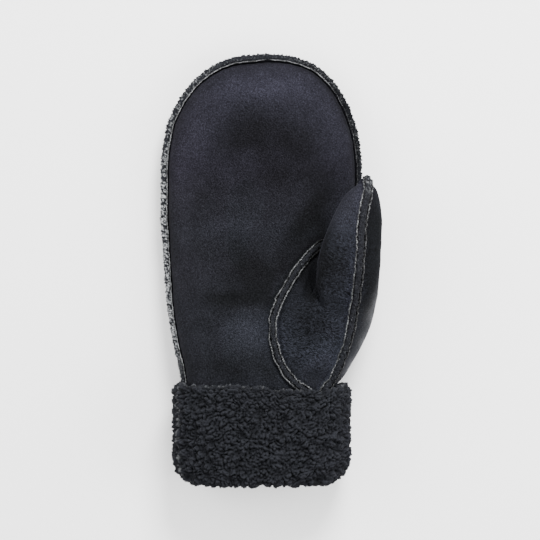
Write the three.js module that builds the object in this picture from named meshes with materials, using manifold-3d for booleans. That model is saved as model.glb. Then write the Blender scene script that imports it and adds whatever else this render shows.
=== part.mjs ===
// A right-hand shearling mitten lying on its back, palm up: suede outside, curly pile inside,
// raw-edged outside seams and a turned-up cuff. Millimetres, +X towards the thumb, +Y towards the
// fingertips, +Z up from the surface that it lies on. The origin is below the middle of the mitten.
import * as THREE from 'three';
import { mergeVertices } from 'three/addons/utils/BufferGeometryUtils.js';
import Module from 'manifold-3d';

const wasm = await Module();
wasm.setup();

// Driving dimensions
const WALL = 5; // suede with its pile pressed flat, over the hand
const THUMB_WALL = 4;
const GAP = 0.35; // clearance between neighbouring pieces
const FLOOR = 0;
const PAST = 200; // reaches past the whole mitten, for cutting tools
const HEM_Y = -136.3; // lowest point of the turned-up hem
const WRIST_Y = -123.6; // where the hand panels end inside the hem
const CUFF_TOP_Y = -70;
const SIDE_Y = 58; // the sides end and the rounded fingertips start
const TIP_Y = 133;
const THUMB_TIP_Y = 56.4;

// Squareness of the cross-sections and of the fingertips' outline, 2 being an ellipse
const HAND_POWER = 2.3;
const THUMB_POWER = 2.2;
const CUFF_POWER = 3;
const TIP_POWER = 2.2;
const TIP_SWELL = 0.55; // how bluntly the thickness closes up at the fingertips
const EVENING = 0.12; // evens out the steps round a squarish section

// Hand outline at the seam, floor side, seam height and crown
const HAND = [
  { y: -124, left: -51.6, right: 41.6, bottom: 9, seam: 27, top: 45 },
  { y: -98, left: -51.6, right: 41.6, bottom: 9, seam: 27, top: 45 },
  { y: -72, left: -51.8, right: 42, bottom: 8.6, seam: 26.5, top: 44.6 },
  { y: -60, left: -53.7, right: 44.6, bottom: 5.5, seam: 24, top: 43.4 },
  { y: -45, left: -57, right: 47.8, bottom: 2, seam: 21, top: 41.6 },
  { y: -25, left: -60.3, right: 50.8, bottom: -1, seam: 18.5, top: 39.6 },
  { y: 0, left: -62.2, right: 53, bottom: -1.6, seam: 17, top: 38.4 },
  { y: 30, left: -63.9, right: 54, bottom: -1.6, seam: 16.5, top: 38 },
  { y: SIDE_Y, left: -64.2, right: 54.2, bottom: -1.4, seam: 16, top: 37 },
  { y: TIP_Y, left: -64.2, right: 54.2, bottom: 0, seam: 15, top: 33 },
];
const HAND_STATIONS = [WRIST_Y, -98, -76, -68, -58, -45, -30, -12, 10, 34];

// Thumb outline seen from above, height of its middle, thickness, and lean of its wide axis
const THUMB = [
  { y: -74, left: 15, right: 38.5, middle: 25, thick: 14, lean: 0 },
  { y: -66, left: 5, right: 46.6, middle: 25.5, thick: 33, lean: 1 },
  { y: -56, left: -1, right: 52.8, middle: 26, thick: 38.5, lean: 3 },
  { y: -44, left: -4, right: 58.8, middle: 27, thick: 39, lean: 6 },
  { y: -33, left: -2, right: 63.6, middle: 29, thick: 37, lean: 10 },
  { y: -25, left: 8, right: 65.8, middle: 32, thick: 33.5, lean: 14 },
  { y: -17, left: 24, right: 67.2, middle: 36.6, thick: 29, lean: 18 },
  { y: -8, left: 30.6, right: 68.2, middle: 41.2, thick: 26, lean: 20 },
  { y: 2, left: 30.8, right: 69.1, middle: 43.6, thick: 25, lean: 21 },
  { y: 13, left: 32.2, right: 69.5, middle: 44, thick: 24.5, lean: 21 },
  { y: 24, left: 35.2, right: 69.5, middle: 43.2, thick: 23.5, lean: 21 },
  { y: 33, left: 39, right: 69.5, middle: 41.8, thick: 22, lean: 20 },
  { y: 40, left: 42.6, right: 69.1, middle: 40.4, thick: 20.5, lean: 19 },
  { y: 46, left: 46, right: 68.1, middle: 39, thick: 18, lean: 18 },
  { y: 50.5, left: 49.9, right: 66.9, middle: 38, thick: 15, lean: 17 },
  { y: 54, left: 54.4, right: 64.8, middle: 37.2, thick: 10, lean: 16 },
  { y: 56, left: 59, right: 62.4, middle: 36.8, thick: 3, lean: 15 },
];
const THUMB_STATIONS = [-74, -67, -60, -52, -43, -33, -25, -17, -9, 0, 13, 26, 36, 43, 48.5, 52.3, 54.8];
const THUMB_HOLLOW = { from: -60, to: 49, end: 49.5 };
const STEPS = { hand: 32, handTip: 8, hollow: 20, hollowTip: 5, thumb: 20, thumbHollow: 12 };

// Soft hollows pressed into the palm, and swells where the depth is negative
const DENTS = [
  { x: -6, y: 62, reach: 34, depth: 1.6 },
  { x: -34, y: 6, reach: 30, depth: 1.3 },
  { x: 16, y: 30, reach: 20, depth: 1.2 },
  { x: 44, y: 22, reach: 26, depth: 3.6 }, // under the thumb
  { x: -24, y: -42, reach: 22, depth: -1.2 },
  { x: -22, y: 96, reach: 26, depth: -0.9 },
];

// Raw-edged seams: two suede lips turned outwards with pile between them
const LIP = 0.9;
const PROUD = 3.4; // how far the lips stand out
const UNDER_PROUD = 0.4; // share of that where a seam is pressed nearly flat under the thumb
const LIP_SUNK = 0.6; // where a seam lies flat, its lips are lost this far below the surface
const LIP_ROOT = 4; // depth that the lips reach into the wall
const SLOT_FLAT = 1.2; // the slot between the lips is cut this far out where the seam lies flat
const SLOT_PROUD = 6; // and this far where it stands proud
const THROUGH = { edge: 10, thumb: 14, base: 14 }; // and inwards through the wall
const PILE_FLAT = 0.05; // the pile reaches this far over the surface where the seam lies flat
const PILE_SHY = 0.3; // and otherwise stays this much below the lips and inside the wall
const PILE_TAPER = 0.5; // its foot is this much narrower on either side
const EDGE_HALF = 3.2; // half the width of each seam over both lips
const THUMB_HALF = 3.1;
const BASE_HALF = 2.5;
const EDGE_TILT = THREE.MathUtils.degToRad(40); // the edge seam turns up towards the palm side

// The seam along the thumb's outer side, seen from above
const THUMB_SEAM = [
  { y: -118, x: 33 },
  { y: -98, x: 33 },
  { y: -84, x: 33.2 },
  { y: -76, x: 35.2 },
  { y: -71, x: 38.1 },
  { y: -67, x: 40.3 },
  { y: -60, x: 43.3 },
  { y: -50, x: 47.4 },
  { y: -41, x: 50 },
  { y: -30, x: 52.2 },
  { y: -17, x: 54.2 },
  { y: -6, x: 55.6 },
  { y: 4, x: 56.9 },
  { y: 13, x: 57.9 },
  { y: 24, x: 57.9 },
  { y: 34, x: 58.8 },
  { y: 44, x: 60.6 },
];
const THUMB_ROUND = [46.5, 49.5, 52.2, 54.4]; // stations of the seam round the thumb's tip

// The rest of that seam, down the thumb's underside to the crotch: where it crosses the section, in
// degrees from the right round over the top, and how proud it stands
const THUMB_TOP_ANGLE = 84;
const THUMB_TIP_PROUD = 0.7;
const THUMB_UNDER = [
  { y: 42, angle: 270.4, proud: 0.4 },
  { y: 36, angle: 280, proud: 0.4 },
  { y: 27, angle: 280, proud: 0.4 },
  { y: 18, angle: 280, proud: 0.4 },
  { y: 9, angle: 280, proud: 0.4 },
  { y: 1, angle: 280, proud: 0.4 },
  { y: -4, angle: 283, proud: 0.28 },
  { y: -9, angle: 287, proud: 0.12 },
  { y: -13, angle: 290, proud: 0 },
];

// Where the edge seam and the thumb's seam meet under the thumb: a small plug of pile
const CROTCH = new THREE.Vector3(49.8, -19.8, 21.6);
const CROTCH_OUT = new THREE.Vector3(0.5, 0, -0.85);
const CROTCH_PLUG = [6.8, 8, 6.6]; // half its width, length and height

// The seam that sets the thumb piece into the palm, seen from above; it ends under the thumb
const BASE_SEAM = [
  { x: 33, y: -82 },
  { x: 25, y: -75.5 },
  { x: 17.5, y: -70.8 },
  { x: 11.5, y: -64.8 },
  { x: 7.2, y: -57.5 },
  { x: 4, y: -47.5 },
  { x: 2.9, y: -36.5 },
  { x: 4, y: -26 },
  { x: 7, y: -17 },
  { x: 12.8, y: -6 },
  { x: 18.8, y: 3.4 },
  { x: 26.4, y: 12.4 },
  { x: 33, y: 17.2 },
  { x: 40, y: 18 },
  { x: 46, y: 15.5 },
  { x: 50, y: 11.5 },
  { x: 52.4, y: 8 },
];
const BASE_PAST = new THREE.Vector3(4.8, -3.4, 0); // and on through the edge seam's lip
const BASE_HIDDEN = { pastY: 12, pastX: 40 }; // from here on the thumb presses it nearly flat

// The edge seam's stations along the little-finger side and down the thumb side
const EDGE_UP = [-127.6, -98, -84, -76, -72, -66, -56, -42, -26, -8, 14, 36];
const EDGE_ROUND = 18; // steps round the fingertips
const EDGE_DOWN = [36, 14, -4, -14, -20];

// The turned-up cuff: offset out of the wrist's surface, place along it, and share of the curls'
// height, from the bottom of its inner face over the top edge, down outside and round the hem
const CUFF = [
  { off: 0.65, y: -124, curl: 0 },
  { off: 0.65, y: -99, curl: 0 },
  { off: 0.7, y: -73.5, curl: 0 },
  { off: 1.8, y: -70.9, curl: 0.3 },
  { off: 4.4, y: -69.8, curl: 0.6 },
  { off: 7.2, y: -70.8, curl: 0.8 },
  { off: 8.9, y: -74, curl: 1 },
  { off: 9.3, y: -81, curl: 1 },
  { off: 9.3, y: -88, curl: 1 },
  { off: 9.3, y: -95, curl: 1 },
  { off: 9.3, y: -102, curl: 1 },
  { off: 9.3, y: -109, curl: 1 },
  { off: 9.3, y: -116, curl: 1 },
  { off: 9.3, y: -122.5, curl: 1 },
  { off: 9.3, y: -128, curl: 1 },
  { off: 8.3, y: -132, curl: 1 },
  { off: 5.6, y: -135.2, curl: 0.8 },
  { off: 1.4, y: HEM_Y, curl: 0.6 },
  { off: -2.6, y: -134.6, curl: 0.8 },
  { off: -5, y: -130.5, curl: 0.6 },
  { off: -5.2, y: -124, curl: 0 },
];
const CUFF_AROUND = 50;
const LIPS_FROM = CUFF_TOP_Y - 7;
const CURL = 0.9; // height of the curls over and under the mean surface
const CUFF_ROOM = { inside: 0.33, outside: 16, above: CUFF_TOP_Y + 0.65, below: HEM_Y - 4 };
const CUFF_SAG = { x: 30, reach: 34, depth: 4, fade: 16 }; // the top edge sags below the thumb
const CUFF_SEAM = { left: 40, right: 24 }; // heights of the side seams that split the cuff

const COLOURS = {
  suede: 0x2c2d35,
  pile: 0x232429,
};

const lerp = THREE.MathUtils.lerp;
const clamp01 = (v) => THREE.MathUtils.clamp(v, 0, 1);
const signedPower = (v, e) => Math.sign(v) * Math.abs(v) ** e;

// A smooth value of one named column at y, through the rows of a table sorted by y.
function column(table, name, y) {
  const last = table.length - 1;
  if (y <= table[0].y) return table[0][name];
  if (y >= table[last].y) return table[last][name];
  const i = table.findIndex((row, k) => k < last && y <= table[k + 1].y);
  const [a, b] = [table[i], table[i + 1]];
  const slope = (k) => {
    const low = table[Math.max(k - 1, 0)];
    const high = table[Math.min(k + 1, last)];
    return (high[name] - low[name]) / (high.y - low.y);
  };
  const width = b.y - a.y;
  const t = (y - a.y) / width;
  const t2 = t * t;
  const t3 = t2 * t;
  return (
    a[name] * (2 * t3 - 3 * t2 + 1) +
    b[name] * (3 * t2 - 2 * t3) +
    slope(i) * width * (t3 - 2 * t2 + t) +
    slope(i + 1) * width * (t3 - t2)
  );
}

// How far the palm is pressed in at a point seen from above.
function dentAt(x, y) {
  return DENTS.reduce(
    (sum, d) => sum + d.depth * Math.exp(-((x - d.x) ** 2 + (y - d.y) ** 2) / d.reach ** 2),
    0,
  );
}

// The hand's cross-section at y, drawn in by inset for the hollow.
function handSection(y, inset = 0) {
  const side = Math.min(y, SIDE_Y);
  const left = column(HAND, 'left', side) + inset;
  const right = column(HAND, 'right', side) - inset;
  const seam = column(HAND, 'seam', y);
  const closing = Math.max(0, (y - SIDE_Y) / (TIP_Y - inset - SIDE_Y));
  const round = Math.max(0, 1 - closing ** TIP_POWER);
  const swell = round ** TIP_SWELL;
  return {
    y,
    x: (left + right) / 2,
    z: seam,
    half: ((right - left) / 2) * round ** (1 / TIP_POWER),
    up: (column(HAND, 'top', y) - inset - seam) * swell,
    down: (seam - column(HAND, 'bottom', y) - inset) * swell,
    power: lerp(CUFF_POWER, HAND_POWER, clamp01((y - CUFF_TOP_Y) / 30)),
    floor: FLOOR + inset,
    dented: clamp01((y - CUFF_TOP_Y) / 20),
    lean: 0,
  };
}

// The thumb's cross-section at y; its wide axis leans down to the right.
function thumbSection(y, inset = 0) {
  const lean = -THREE.MathUtils.degToRad(column(THUMB, 'lean', y));
  const wide = (column(THUMB, 'right', y) - column(THUMB, 'left', y)) / 2;
  const thin = column(THUMB, 'thick', y) / 2;
  const sine = thin * Math.sin(lean);
  const half = Math.sqrt(Math.max(wide ** 2 - sine ** 2, 0.01)) / Math.cos(lean);
  return {
    y,
    x: (column(THUMB, 'right', y) + column(THUMB, 'left', y)) / 2,
    z: column(THUMB, 'middle', y),
    half: half - inset,
    up: thin - inset,
    down: thin - inset,
    power: THUMB_POWER,
    floor: FLOOR + inset,
    dented: 0,
    lean,
  };
}

// The point of a section at an angle, 0 on the right and a quarter turn at the top, grown outwards.
function sectionPoint(s, angle, grow = 0) {
  const across = (s.half + grow) * signedPower(Math.cos(angle), 2 / s.power);
  const height = Math.sin(angle) > 0 ? s.up : s.down;
  const rise = (height + grow) * signedPower(Math.sin(angle), 2 / s.power);
  const x = s.x + across * Math.cos(s.lean) - rise * Math.sin(s.lean);
  let z = s.z + across * Math.sin(s.lean) + rise * Math.cos(s.lean);
  if (s.dented && rise > 0) z -= dentAt(x, s.y) * s.dented * (rise / height) ** 2;
  return new THREE.Vector3(x, s.y, Math.max(z, s.floor));
}

// Angles round a section, spread so that a squarish section gets steps of nearly one length.
function ringAngles(count) {
  return Array.from({ length: count }, (_, i) => {
    const turn = (i / count) * Math.PI * 2;
    return turn - EVENING * Math.sin(4 * turn);
  });
}

const sectionRing = (s, around) => ringAngles(around).map((angle) => sectionPoint(s, angle));

// A closed mesh through rings of points; the ends are closed by fans, or by the first ring again.
function loft(rings, { tip = null, endless = false } = {}) {
  const around = rings[0].length;
  const points = rings.flat();
  const faces = [];
  const joins = endless ? rings.length : rings.length - 1;
  for (let r = 0; r < joins; r++) {
    const next = (r + 1) % rings.length;
    for (let i = 0; i < around; i++) {
      const [a, b] = [r * around + i, r * around + ((i + 1) % around)];
      const [c, d] = [next * around + i, next * around + ((i + 1) % around)];
      faces.push(a, b, d, a, d, c);
    }
  }
  if (!endless) {
    const middle = (ring) => ring.reduce((s, p) => s.add(p), new THREE.Vector3()).divideScalar(around);
    const last = (rings.length - 1) * around;
    points.push(middle(rings[0]), tip ?? middle(rings[rings.length - 1]));
    for (let i = 0; i < around; i++) {
      const j = (i + 1) % around;
      faces.push(points.length - 2, j, i, points.length - 1, last + i, last + j);
    }
  }
  const geometry = new THREE.BufferGeometry().setFromPoints(points);
  geometry.setIndex(faces);
  return facingOut(geometry);
}

// Turns every face round if the closed mesh encloses a negative volume.
function facingOut(geometry) {
  const at = geometry.getAttribute('position');
  const index = geometry.getIndex().array;
  const [a, b, c] = [new THREE.Vector3(), new THREE.Vector3(), new THREE.Vector3()];
  let volume = 0;
  for (let i = 0; i < index.length; i += 3) {
    a.fromBufferAttribute(at, index[i]);
    b.fromBufferAttribute(at, index[i + 1]);
    c.fromBufferAttribute(at, index[i + 2]);
    volume += a.dot(b.cross(c));
  }
  if (volume < 0) {
    for (let i = 0; i < index.length; i += 3) [index[i + 1], index[i + 2]] = [index[i + 2], index[i + 1]];
  }
  return geometry;
}

function solid(geometry) {
  const bare = new THREE.BufferGeometry().setAttribute('position', geometry.getAttribute('position').clone());
  if (geometry.index) bare.setIndex(geometry.index.clone());
  const merged = mergeVertices(bare, 1e-4);
  return new wasm.Manifold(
    new wasm.Mesh({
      numProp: 3,
      vertProperties: new Float32Array(merged.getAttribute('position').array),
      triVerts: new Uint32Array(merged.index.array),
    }),
  );
}

const joinAll = (solids) => solids.reduce((a, b) => a.add(b));

function geometryOf(piece) {
  const { vertProperties, triVerts } = piece.getMesh();
  const geometry = new THREE.BufferGeometry();
  geometry.setAttribute('position', new THREE.BufferAttribute(new Float32Array(vertProperties), 3));
  geometry.setIndex(new THREE.BufferAttribute(new Uint32Array(triVerts), 1));
  return geometry;
}

function mesh(name, piece, material) {
  const made = new THREE.Mesh(geometryOf(piece), material);
  made.geometry.computeVertexNormals();
  made.name = name;
  return made;
}

// The hand as a closed solid: stations along the sides, then closing up round the fingertips.
function handSolid(inset, tipSteps, around) {
  const tip = TIP_Y - inset;
  const past = inset ? 0.5 : 0; // the hollow opens through the wrist's end
  const nearTip = 0.97; // share of the way to the tip where the last ring stands
  const sides = HAND_STATIONS.map((y) => y - past);
  const closing = Array.from({ length: tipSteps }, (_, i) => {
    const turn = ((i / tipSteps) * nearTip * Math.PI) / 2;
    return SIDE_Y + (tip - SIDE_Y) * Math.sin(turn) ** (2 / TIP_POWER);
  });
  const rings = [...sides, ...closing].map((y) => sectionRing(handSection(y, inset), around));
  const end = handSection(tip, inset);
  return solid(loft(rings, { tip: new THREE.Vector3(end.x, tip, end.z) }));
}

function thumbSolid(inset, stations, end, around) {
  const rings = stations.map((y) => sectionRing(thumbSection(y, inset), around));
  const tip = thumbSection(end);
  return solid(loft(rings, { tip: new THREE.Vector3(tip.x, end, tip.z) }));
}

// Seams lie flat where the cuff covers them.
function proudAt(y) {
  return y < CUFF_TOP_Y - CUFF_SAG.depth ? 0 : 1;
}

// Drops points seen from above onto the top of a solid, with the surface's outward direction there.
function drape(points, onto) {
  const target = new THREE.Mesh(geometryOf(onto), new THREE.MeshBasicMaterial());
  const ray = new THREE.Raycaster();
  const probe = 2.5;
  const height = (x, y) => {
    ray.set(new THREE.Vector3(x, y, PAST), new THREE.Vector3(0, 0, -1));
    return ray.intersectObject(target)[0]?.point.z ?? HAND[0].bottom;
  };
  return points.map(({ x, y }) => {
    const at = new THREE.Vector3(x, y, height(x, y));
    const out = new THREE.Vector3(
      (height(x - probe, y) - height(x + probe, y)) / (2 * probe),
      (height(x, y - probe) - height(x, y + probe)) / (2 * probe),
      1,
    ).normalize();
    return { at, out, proud: proudAt(y) };
  });
}

// The point of a section at an angle as a seam station, facing square out of the section.
function seamStation(s, angle, proud) {
  const normal = new THREE.Vector2(Math.cos(angle) / s.half, Math.sin(angle) / s.up);
  normal.normalize().rotateAround(new THREE.Vector2(), s.lean);
  return { at: sectionPoint(s, angle), out: new THREE.Vector3(normal.x, 0, normal.y), proud };
}

// Evens out the outward directions of a path and gives each station its side direction, square to
// the outward one and to the way along.
function withSides(path) {
  return path.map((p, i) => {
    const [before, after] = [path[Math.max(i - 1, 0)], path[Math.min(i + 1, path.length - 1)]];
    const along = after.at.clone().sub(before.at).normalize();
    const evened = before.out.clone().add(after.out).addScaledVector(p.out, 2);
    const side = along.clone().cross(evened).normalize();
    const out = side.clone().cross(along).normalize();
    return { ...p, side, out, inward: p.inward ?? out.clone().negate() };
  });
}

// The edge seam: up the little-finger side, round the fingertips and down to the thumb's crotch.
function edgePath() {
  const [left, right] = [column(HAND, 'left', SIDE_Y), column(HAND, 'right', SIDE_Y)];
  const roundTip = Array.from({ length: EDGE_ROUND + 1 }, (_, i) => {
    const turn = Math.PI * (1 - i / EDGE_ROUND);
    const x = (left + right) / 2 + ((right - left) / 2) * signedPower(Math.cos(turn), 2 / TIP_POWER);
    return [x, SIDE_Y + (TIP_Y - SIDE_Y) * Math.sin(turn) ** (2 / TIP_POWER)];
  });
  const outline = [
    ...EDGE_UP.map((y) => [column(HAND, 'left', y), y]),
    ...roundTip,
    ...EDGE_DOWN.map((y) => [column(HAND, 'right', y), y]),
  ];
  const points = outline.map(([x, y]) => new THREE.Vector3(x, y, column(HAND, 'seam', y)));
  return withSides(
    points.map((at, i) => {
      const before = points[Math.max(i - 1, 0)];
      const after = points[Math.min(i + 1, points.length - 1)];
      const outward = new THREE.Vector3(before.y - after.y, after.x - before.x, 0).normalize();
      const out = outward.clone().multiplyScalar(Math.cos(EDGE_TILT)).setZ(Math.sin(EDGE_TILT));
      return { at, out, inward: outward.negate(), proud: proudAt(at.y) };
    }),
  );
}

// The thumb's seam in two runs that meet at the tip: from the wrist up its outer side, and down its
// underside to the crotch. Near the tip, where the thumb is solid, both reach in to the middle.
function thumbRuns(outer) {
  const outerSide = drape(THUMB_SEAM, outer);
  const start = { ...outerSide[0], at: outerSide[0].at.clone().setY(EDGE_UP[0]) };
  const tip = thumbSection(THUMB_TIP_Y);
  const tipAt = new THREE.Vector3(tip.x, THUMB_TIP_Y, tip.z);
  const peak = { at: tipAt, out: new THREE.Vector3(0, 1, 0), proud: 1, deep: 1 };
  const solidThere = (y, angle, proud) => {
    const s = thumbSection(y);
    const station = seamStation(s, THREE.MathUtils.degToRad(angle), proud);
    return { ...station, inward: station.out.clone().negate(), deep: s.up + 1 };
  };
  const up = [start, ...outerSide, ...THUMB_ROUND.map((y) => solidThere(y, THUMB_TOP_ANGLE, 1))];
  const [first, ...under] = THUMB_UNDER;
  const down = [
    ...THUMB_ROUND.toReversed().map((y) => solidThere(y, THUMB_TOP_ANGLE + 180, THUMB_TIP_PROUD)),
    solidThere(first.y, first.angle, first.proud),
    ...under.map(({ y, angle, proud }) =>
      seamStation(thumbSection(y), THREE.MathUtils.degToRad(angle), proud),
    ),
    { at: CROTCH.clone(), out: CROTCH_OUT, proud: 0 },
  ];
  const whole = withSides([...up, peak, ...down]);
  return [whole.slice(0, up.length + 1), whole.slice(up.length)];
}

// The thumb piece's seam round the palm: from the vertex under the cuff to the edge seam.
function basePath(hand) {
  const hidden = ({ at }) => at.y > BASE_HIDDEN.pastY || at.x > BASE_HIDDEN.pastX;
  const path = drape(BASE_SEAM, hand).map((p) => (hidden(p) ? { ...p, proud: UNDER_PROUD } : p));
  const last = path.at(-1);
  return withSides([...path, { ...last, at: last.at.clone().add(BASE_PAST) }]);
}

// A strip swept along a run: half its width across, outwards to a height between flat and high that
// follows how proud the seam is, and inwards by depth, where it narrows by taper on either side.
// Its section bends at the suede's surface.
function strip(run, half, depth, flat, high, taper = 0) {
  const rings = run.map(({ at, out, side, inward, proud, deep = depth }) => {
    const top = out.clone().multiplyScalar(lerp(flat, high, proud));
    const foot = inward.clone().multiplyScalar(Math.min(depth, deep));
    const edge = (across) => at.clone().addScaledVector(side, across);
    return [
      edge(taper - half).add(foot),
      edge(-half),
      edge(-half).add(top),
      edge(half).add(top),
      edge(half),
      edge(half - taper).add(foot),
    ];
  });
  return solid(loft(rings));
}

// The slot cut through the wall, the block that leaves the lips where the cuff doesn't cover them,
// and the pile between them
function seamStrips({ runs, half, through, wall }) {
  const sweep = (...sizes) => joinAll(runs.map((run) => strip(run, ...sizes)));
  const bare = runs.map((run) => run.filter(({ at }) => at.y > LIPS_FROM));
  return {
    slot: sweep(half - LIP, through, SLOT_FLAT, SLOT_PROUD),
    lips: joinAll(bare.map((run) => strip(run, half, LIP_ROOT, -LIP_SUNK, PROUD))),
    pile: sweep(half - LIP - GAP, wall - PILE_SHY, PILE_FLAT, PROUD - PILE_SHY, PILE_TAPER),
  };
}

function crotchPlug(inset) {
  const size = CROTCH_PLUG.map((half) => half - inset);
  return solid(new THREE.IcosahedronGeometry(1, 2).scale(...size).translate(...CROTCH));
}

// The suede panels and the pile strips of their seams.
function handPieces() {
  const hand = handSolid(0, STEPS.handTip, STEPS.hand);
  const outer = hand.add(thumbSolid(0, THUMB_STATIONS, THUMB_TIP_Y, STEPS.thumb));
  const { from, to, end } = THUMB_HOLLOW;
  const inThumb = THUMB_STATIONS.filter((y) => y > from && y < to);
  const hollow = handSolid(WALL, STEPS.hollowTip, STEPS.hollow).add(
    thumbSolid(THUMB_WALL, inThumb, end, STEPS.thumbHollow),
  );
  const pastWrist = solid(new THREE.BoxGeometry(PAST, PAST, PAST).translate(0, WRIST_Y - PAST / 2, 0));

  const edge = seamStrips({ runs: [edgePath()], half: EDGE_HALF, through: THROUGH.edge, wall: WALL });
  const thumb = seamStrips({
    runs: thumbRuns(outer),
    half: THUMB_HALF,
    through: THROUGH.thumb,
    wall: THUMB_WALL,
  });
  const base = seamStrips({ runs: [basePath(hand)], half: BASE_HALF, through: THROUGH.base, wall: WALL });
  const room = joinAll([pastWrist, cuffRoom()]);
  const plugRoom = crotchPlug(0);

  const cuts = joinAll([hollow, room, edge.slot, thumb.slot, base.slot, plugRoom]);
  const bodies = joinAll([outer, edge.lips, thumb.lips, base.lips]).subtract(cuts).decompose();
  const lowest = (a, b) => (a.boundingBox().min[2] < b.boundingBox().min[2] ? a : b);
  const highest = (a, b) => (a.boundingBox().max[2] > b.boundingBox().max[2] ? a : b);
  const back = bodies.reduce(lowest);
  const front = bodies.reduce(highest);
  return {
    palm_panel: bodies.find((b) => b !== back && b !== front),
    back_panel: back,
    thumb_panel: front,
    edge_seam: edge.pile.subtract(room).add(crotchPlug(GAP)),
    thumb_seam: thumb.pile.subtract(joinAll([room, edge.slot, plugRoom])),
    thumb_base_seam: base.pile.subtract(joinAll([room, edge.slot, thumb.slot, plugRoom])),
  };
}

// A height between -1 and 1 that looks scattered but is the same each time.
function scatter(i, j) {
  const wave = Math.sin(i * 12.9898 + j * 78.233) * 43758.5453;
  return (wave - Math.floor(wave)) * 2 - 1;
}

// A ring round the wrist through a profile of rows; its top edge sags with the cuff's.
function wristRing(profile) {
  const wrist = handSection(WRIST_Y);
  const rings = ringAngles(CUFF_AROUND).map((angle, i) => {
    const near = Math.exp(-(((sectionPoint(wrist, angle).x - CUFF_SAG.x) / CUFF_SAG.reach) ** 2));
    const sag = CUFF_SAG.depth * near * clamp01(Math.sin(angle));
    return profile.map(({ off, y, curl = 0 }, j) => {
      const p = sectionPoint(wrist, angle, off + CURL * curl * scatter(i, j));
      return p.setY(y - sag * clamp01(1 - (CUFF_TOP_Y - y) / CUFF_SAG.fade));
    });
  });
  return solid(loft(rings, { endless: true }));
}

// The space that the cuff takes up outside the wrist, which the panels and seams stay out of.
function cuffRoom() {
  const { inside, outside, above, below } = CUFF_ROOM;
  return wristRing([
    { off: inside, y: below },
    { off: inside, y: above },
    { off: outside, y: above },
    { off: outside, y: below },
  ]);
}

// The cuff, split along its side seams by a thin slab that leans from one to the other.
function cuffPieces() {
  const wrist = handSection(WRIST_Y);
  const { left, right } = CUFF_SEAM;
  const slab = new THREE.BoxGeometry(PAST, PAST, GAP);
  slab.rotateY(Math.atan2(left - right, 2 * wrist.half)).translate(wrist.x, CUFF_TOP_Y, (left + right) / 2);
  const halves = wristRing(CUFF).subtract(solid(slab)).decompose();
  halves.sort((a, b) => b.boundingBox().max[2] - a.boundingBox().max[2]);
  return { cuff_palm_half: halves[0], cuff_back_half: halves[1] };
}

const [suede, pile] = Object.entries(COLOURS).map(
  ([name, color]) => new THREE.MeshStandardMaterial({ name, color, roughness: 0.95, metalness: 0 }),
);

const group = new THREE.Group();
for (const [name, piece] of Object.entries({ ...handPieces(), ...cuffPieces() })) {
  group.add(mesh(name, piece, name.endsWith('panel') ? suede : pile));
}
const box = new THREE.Box3().setFromObject(group);
group.position.set(-(box.min.x + box.max.x) / 2, -(box.min.y + box.max.y) / 2, -box.min.z);

export default group;
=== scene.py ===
"""A shearling mitten, palm up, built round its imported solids.

Lengths in the tables are millimetres in the pattern's own place; the frame is in metres.
"""

import functools
import math

import bmesh
import bpy
import numpy as np
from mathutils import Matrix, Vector, noise
from mathutils.bvhtree import BVHTree
from mathutils.kdtree import KDTree


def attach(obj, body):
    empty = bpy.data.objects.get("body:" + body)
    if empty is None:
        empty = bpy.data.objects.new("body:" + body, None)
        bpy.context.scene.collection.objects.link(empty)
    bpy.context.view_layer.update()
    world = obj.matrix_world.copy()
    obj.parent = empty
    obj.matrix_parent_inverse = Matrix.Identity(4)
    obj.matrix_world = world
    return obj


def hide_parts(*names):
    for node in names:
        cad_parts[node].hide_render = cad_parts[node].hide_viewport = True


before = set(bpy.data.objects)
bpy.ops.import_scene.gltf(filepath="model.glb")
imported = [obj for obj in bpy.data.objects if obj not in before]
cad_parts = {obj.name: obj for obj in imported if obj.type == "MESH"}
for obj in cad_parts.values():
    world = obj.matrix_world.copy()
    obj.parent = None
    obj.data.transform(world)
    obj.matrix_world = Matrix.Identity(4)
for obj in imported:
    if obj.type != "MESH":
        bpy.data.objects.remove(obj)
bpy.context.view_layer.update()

bl_info = {
    "name": "Shearling mitten",
    "version": (1, 0, 0),
    "blender": (4, 5, 0),
    "location": "3D View > Sidebar > Mitten",
    "description": "Builds a suede mitten with curly pile inside, outside seams and a turned-up cuff",
    "category": "Object",
}

MM = 0.001
CENTRING = np.array((-0.398, -0.681, 0.0))  # moves the pattern so that its box is centred

# The pattern's main sizes
WRIST_Y = -123.6
CUFF_TOP_Y = -70.0
LINING_Y = -116.2
SIDE_Y = 58.0
TIP_Y = 133.0
THUMB_TIP_Y = 56.4
HAND_POWER = 2.3
THUMB_POWER = 2.2
CUFF_POWER = 3.0
TIP_POWER = 2.36
TIP_SWELL = 0.55
TIP_LEAN = 1.4  # the fingertips lean this far towards the thumb's side
POWER_CHANGE = 30.0  # above the cuff, the section's power changes over this length
DENTS_FADE = 20.0  # and the palm's hollows come in over this one

# Hand outline at the seam, floor side, seam height and crown
HAND_COLUMNS = ("y", "left", "right", "bottom", "seam", "top")
HAND = (
    (-128, -51.6, 41.6, 9, 27, 45),
    (-98, -51.6, 41.6, 9, 27, 45),
    (-72, -51.8, 42, 8.6, 26.5, 44.6),
    (-60, -53.7, 44.6, 5.5, 24, 43.4),
    (-45, -57, 47.8, 2, 21, 41.6),
    (-25, -60.3, 50.8, -1, 18.5, 39.6),
    (0, -62.2, 53, -1.6, 17, 38.4),
    (30, -63.9, 54, -1.6, 16.5, 38),
    (SIDE_Y, -64.2, 54.2, -1.4, 16, 37),
    (TIP_Y, -64.2, 54.2, 0, 15, 33),
)

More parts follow.
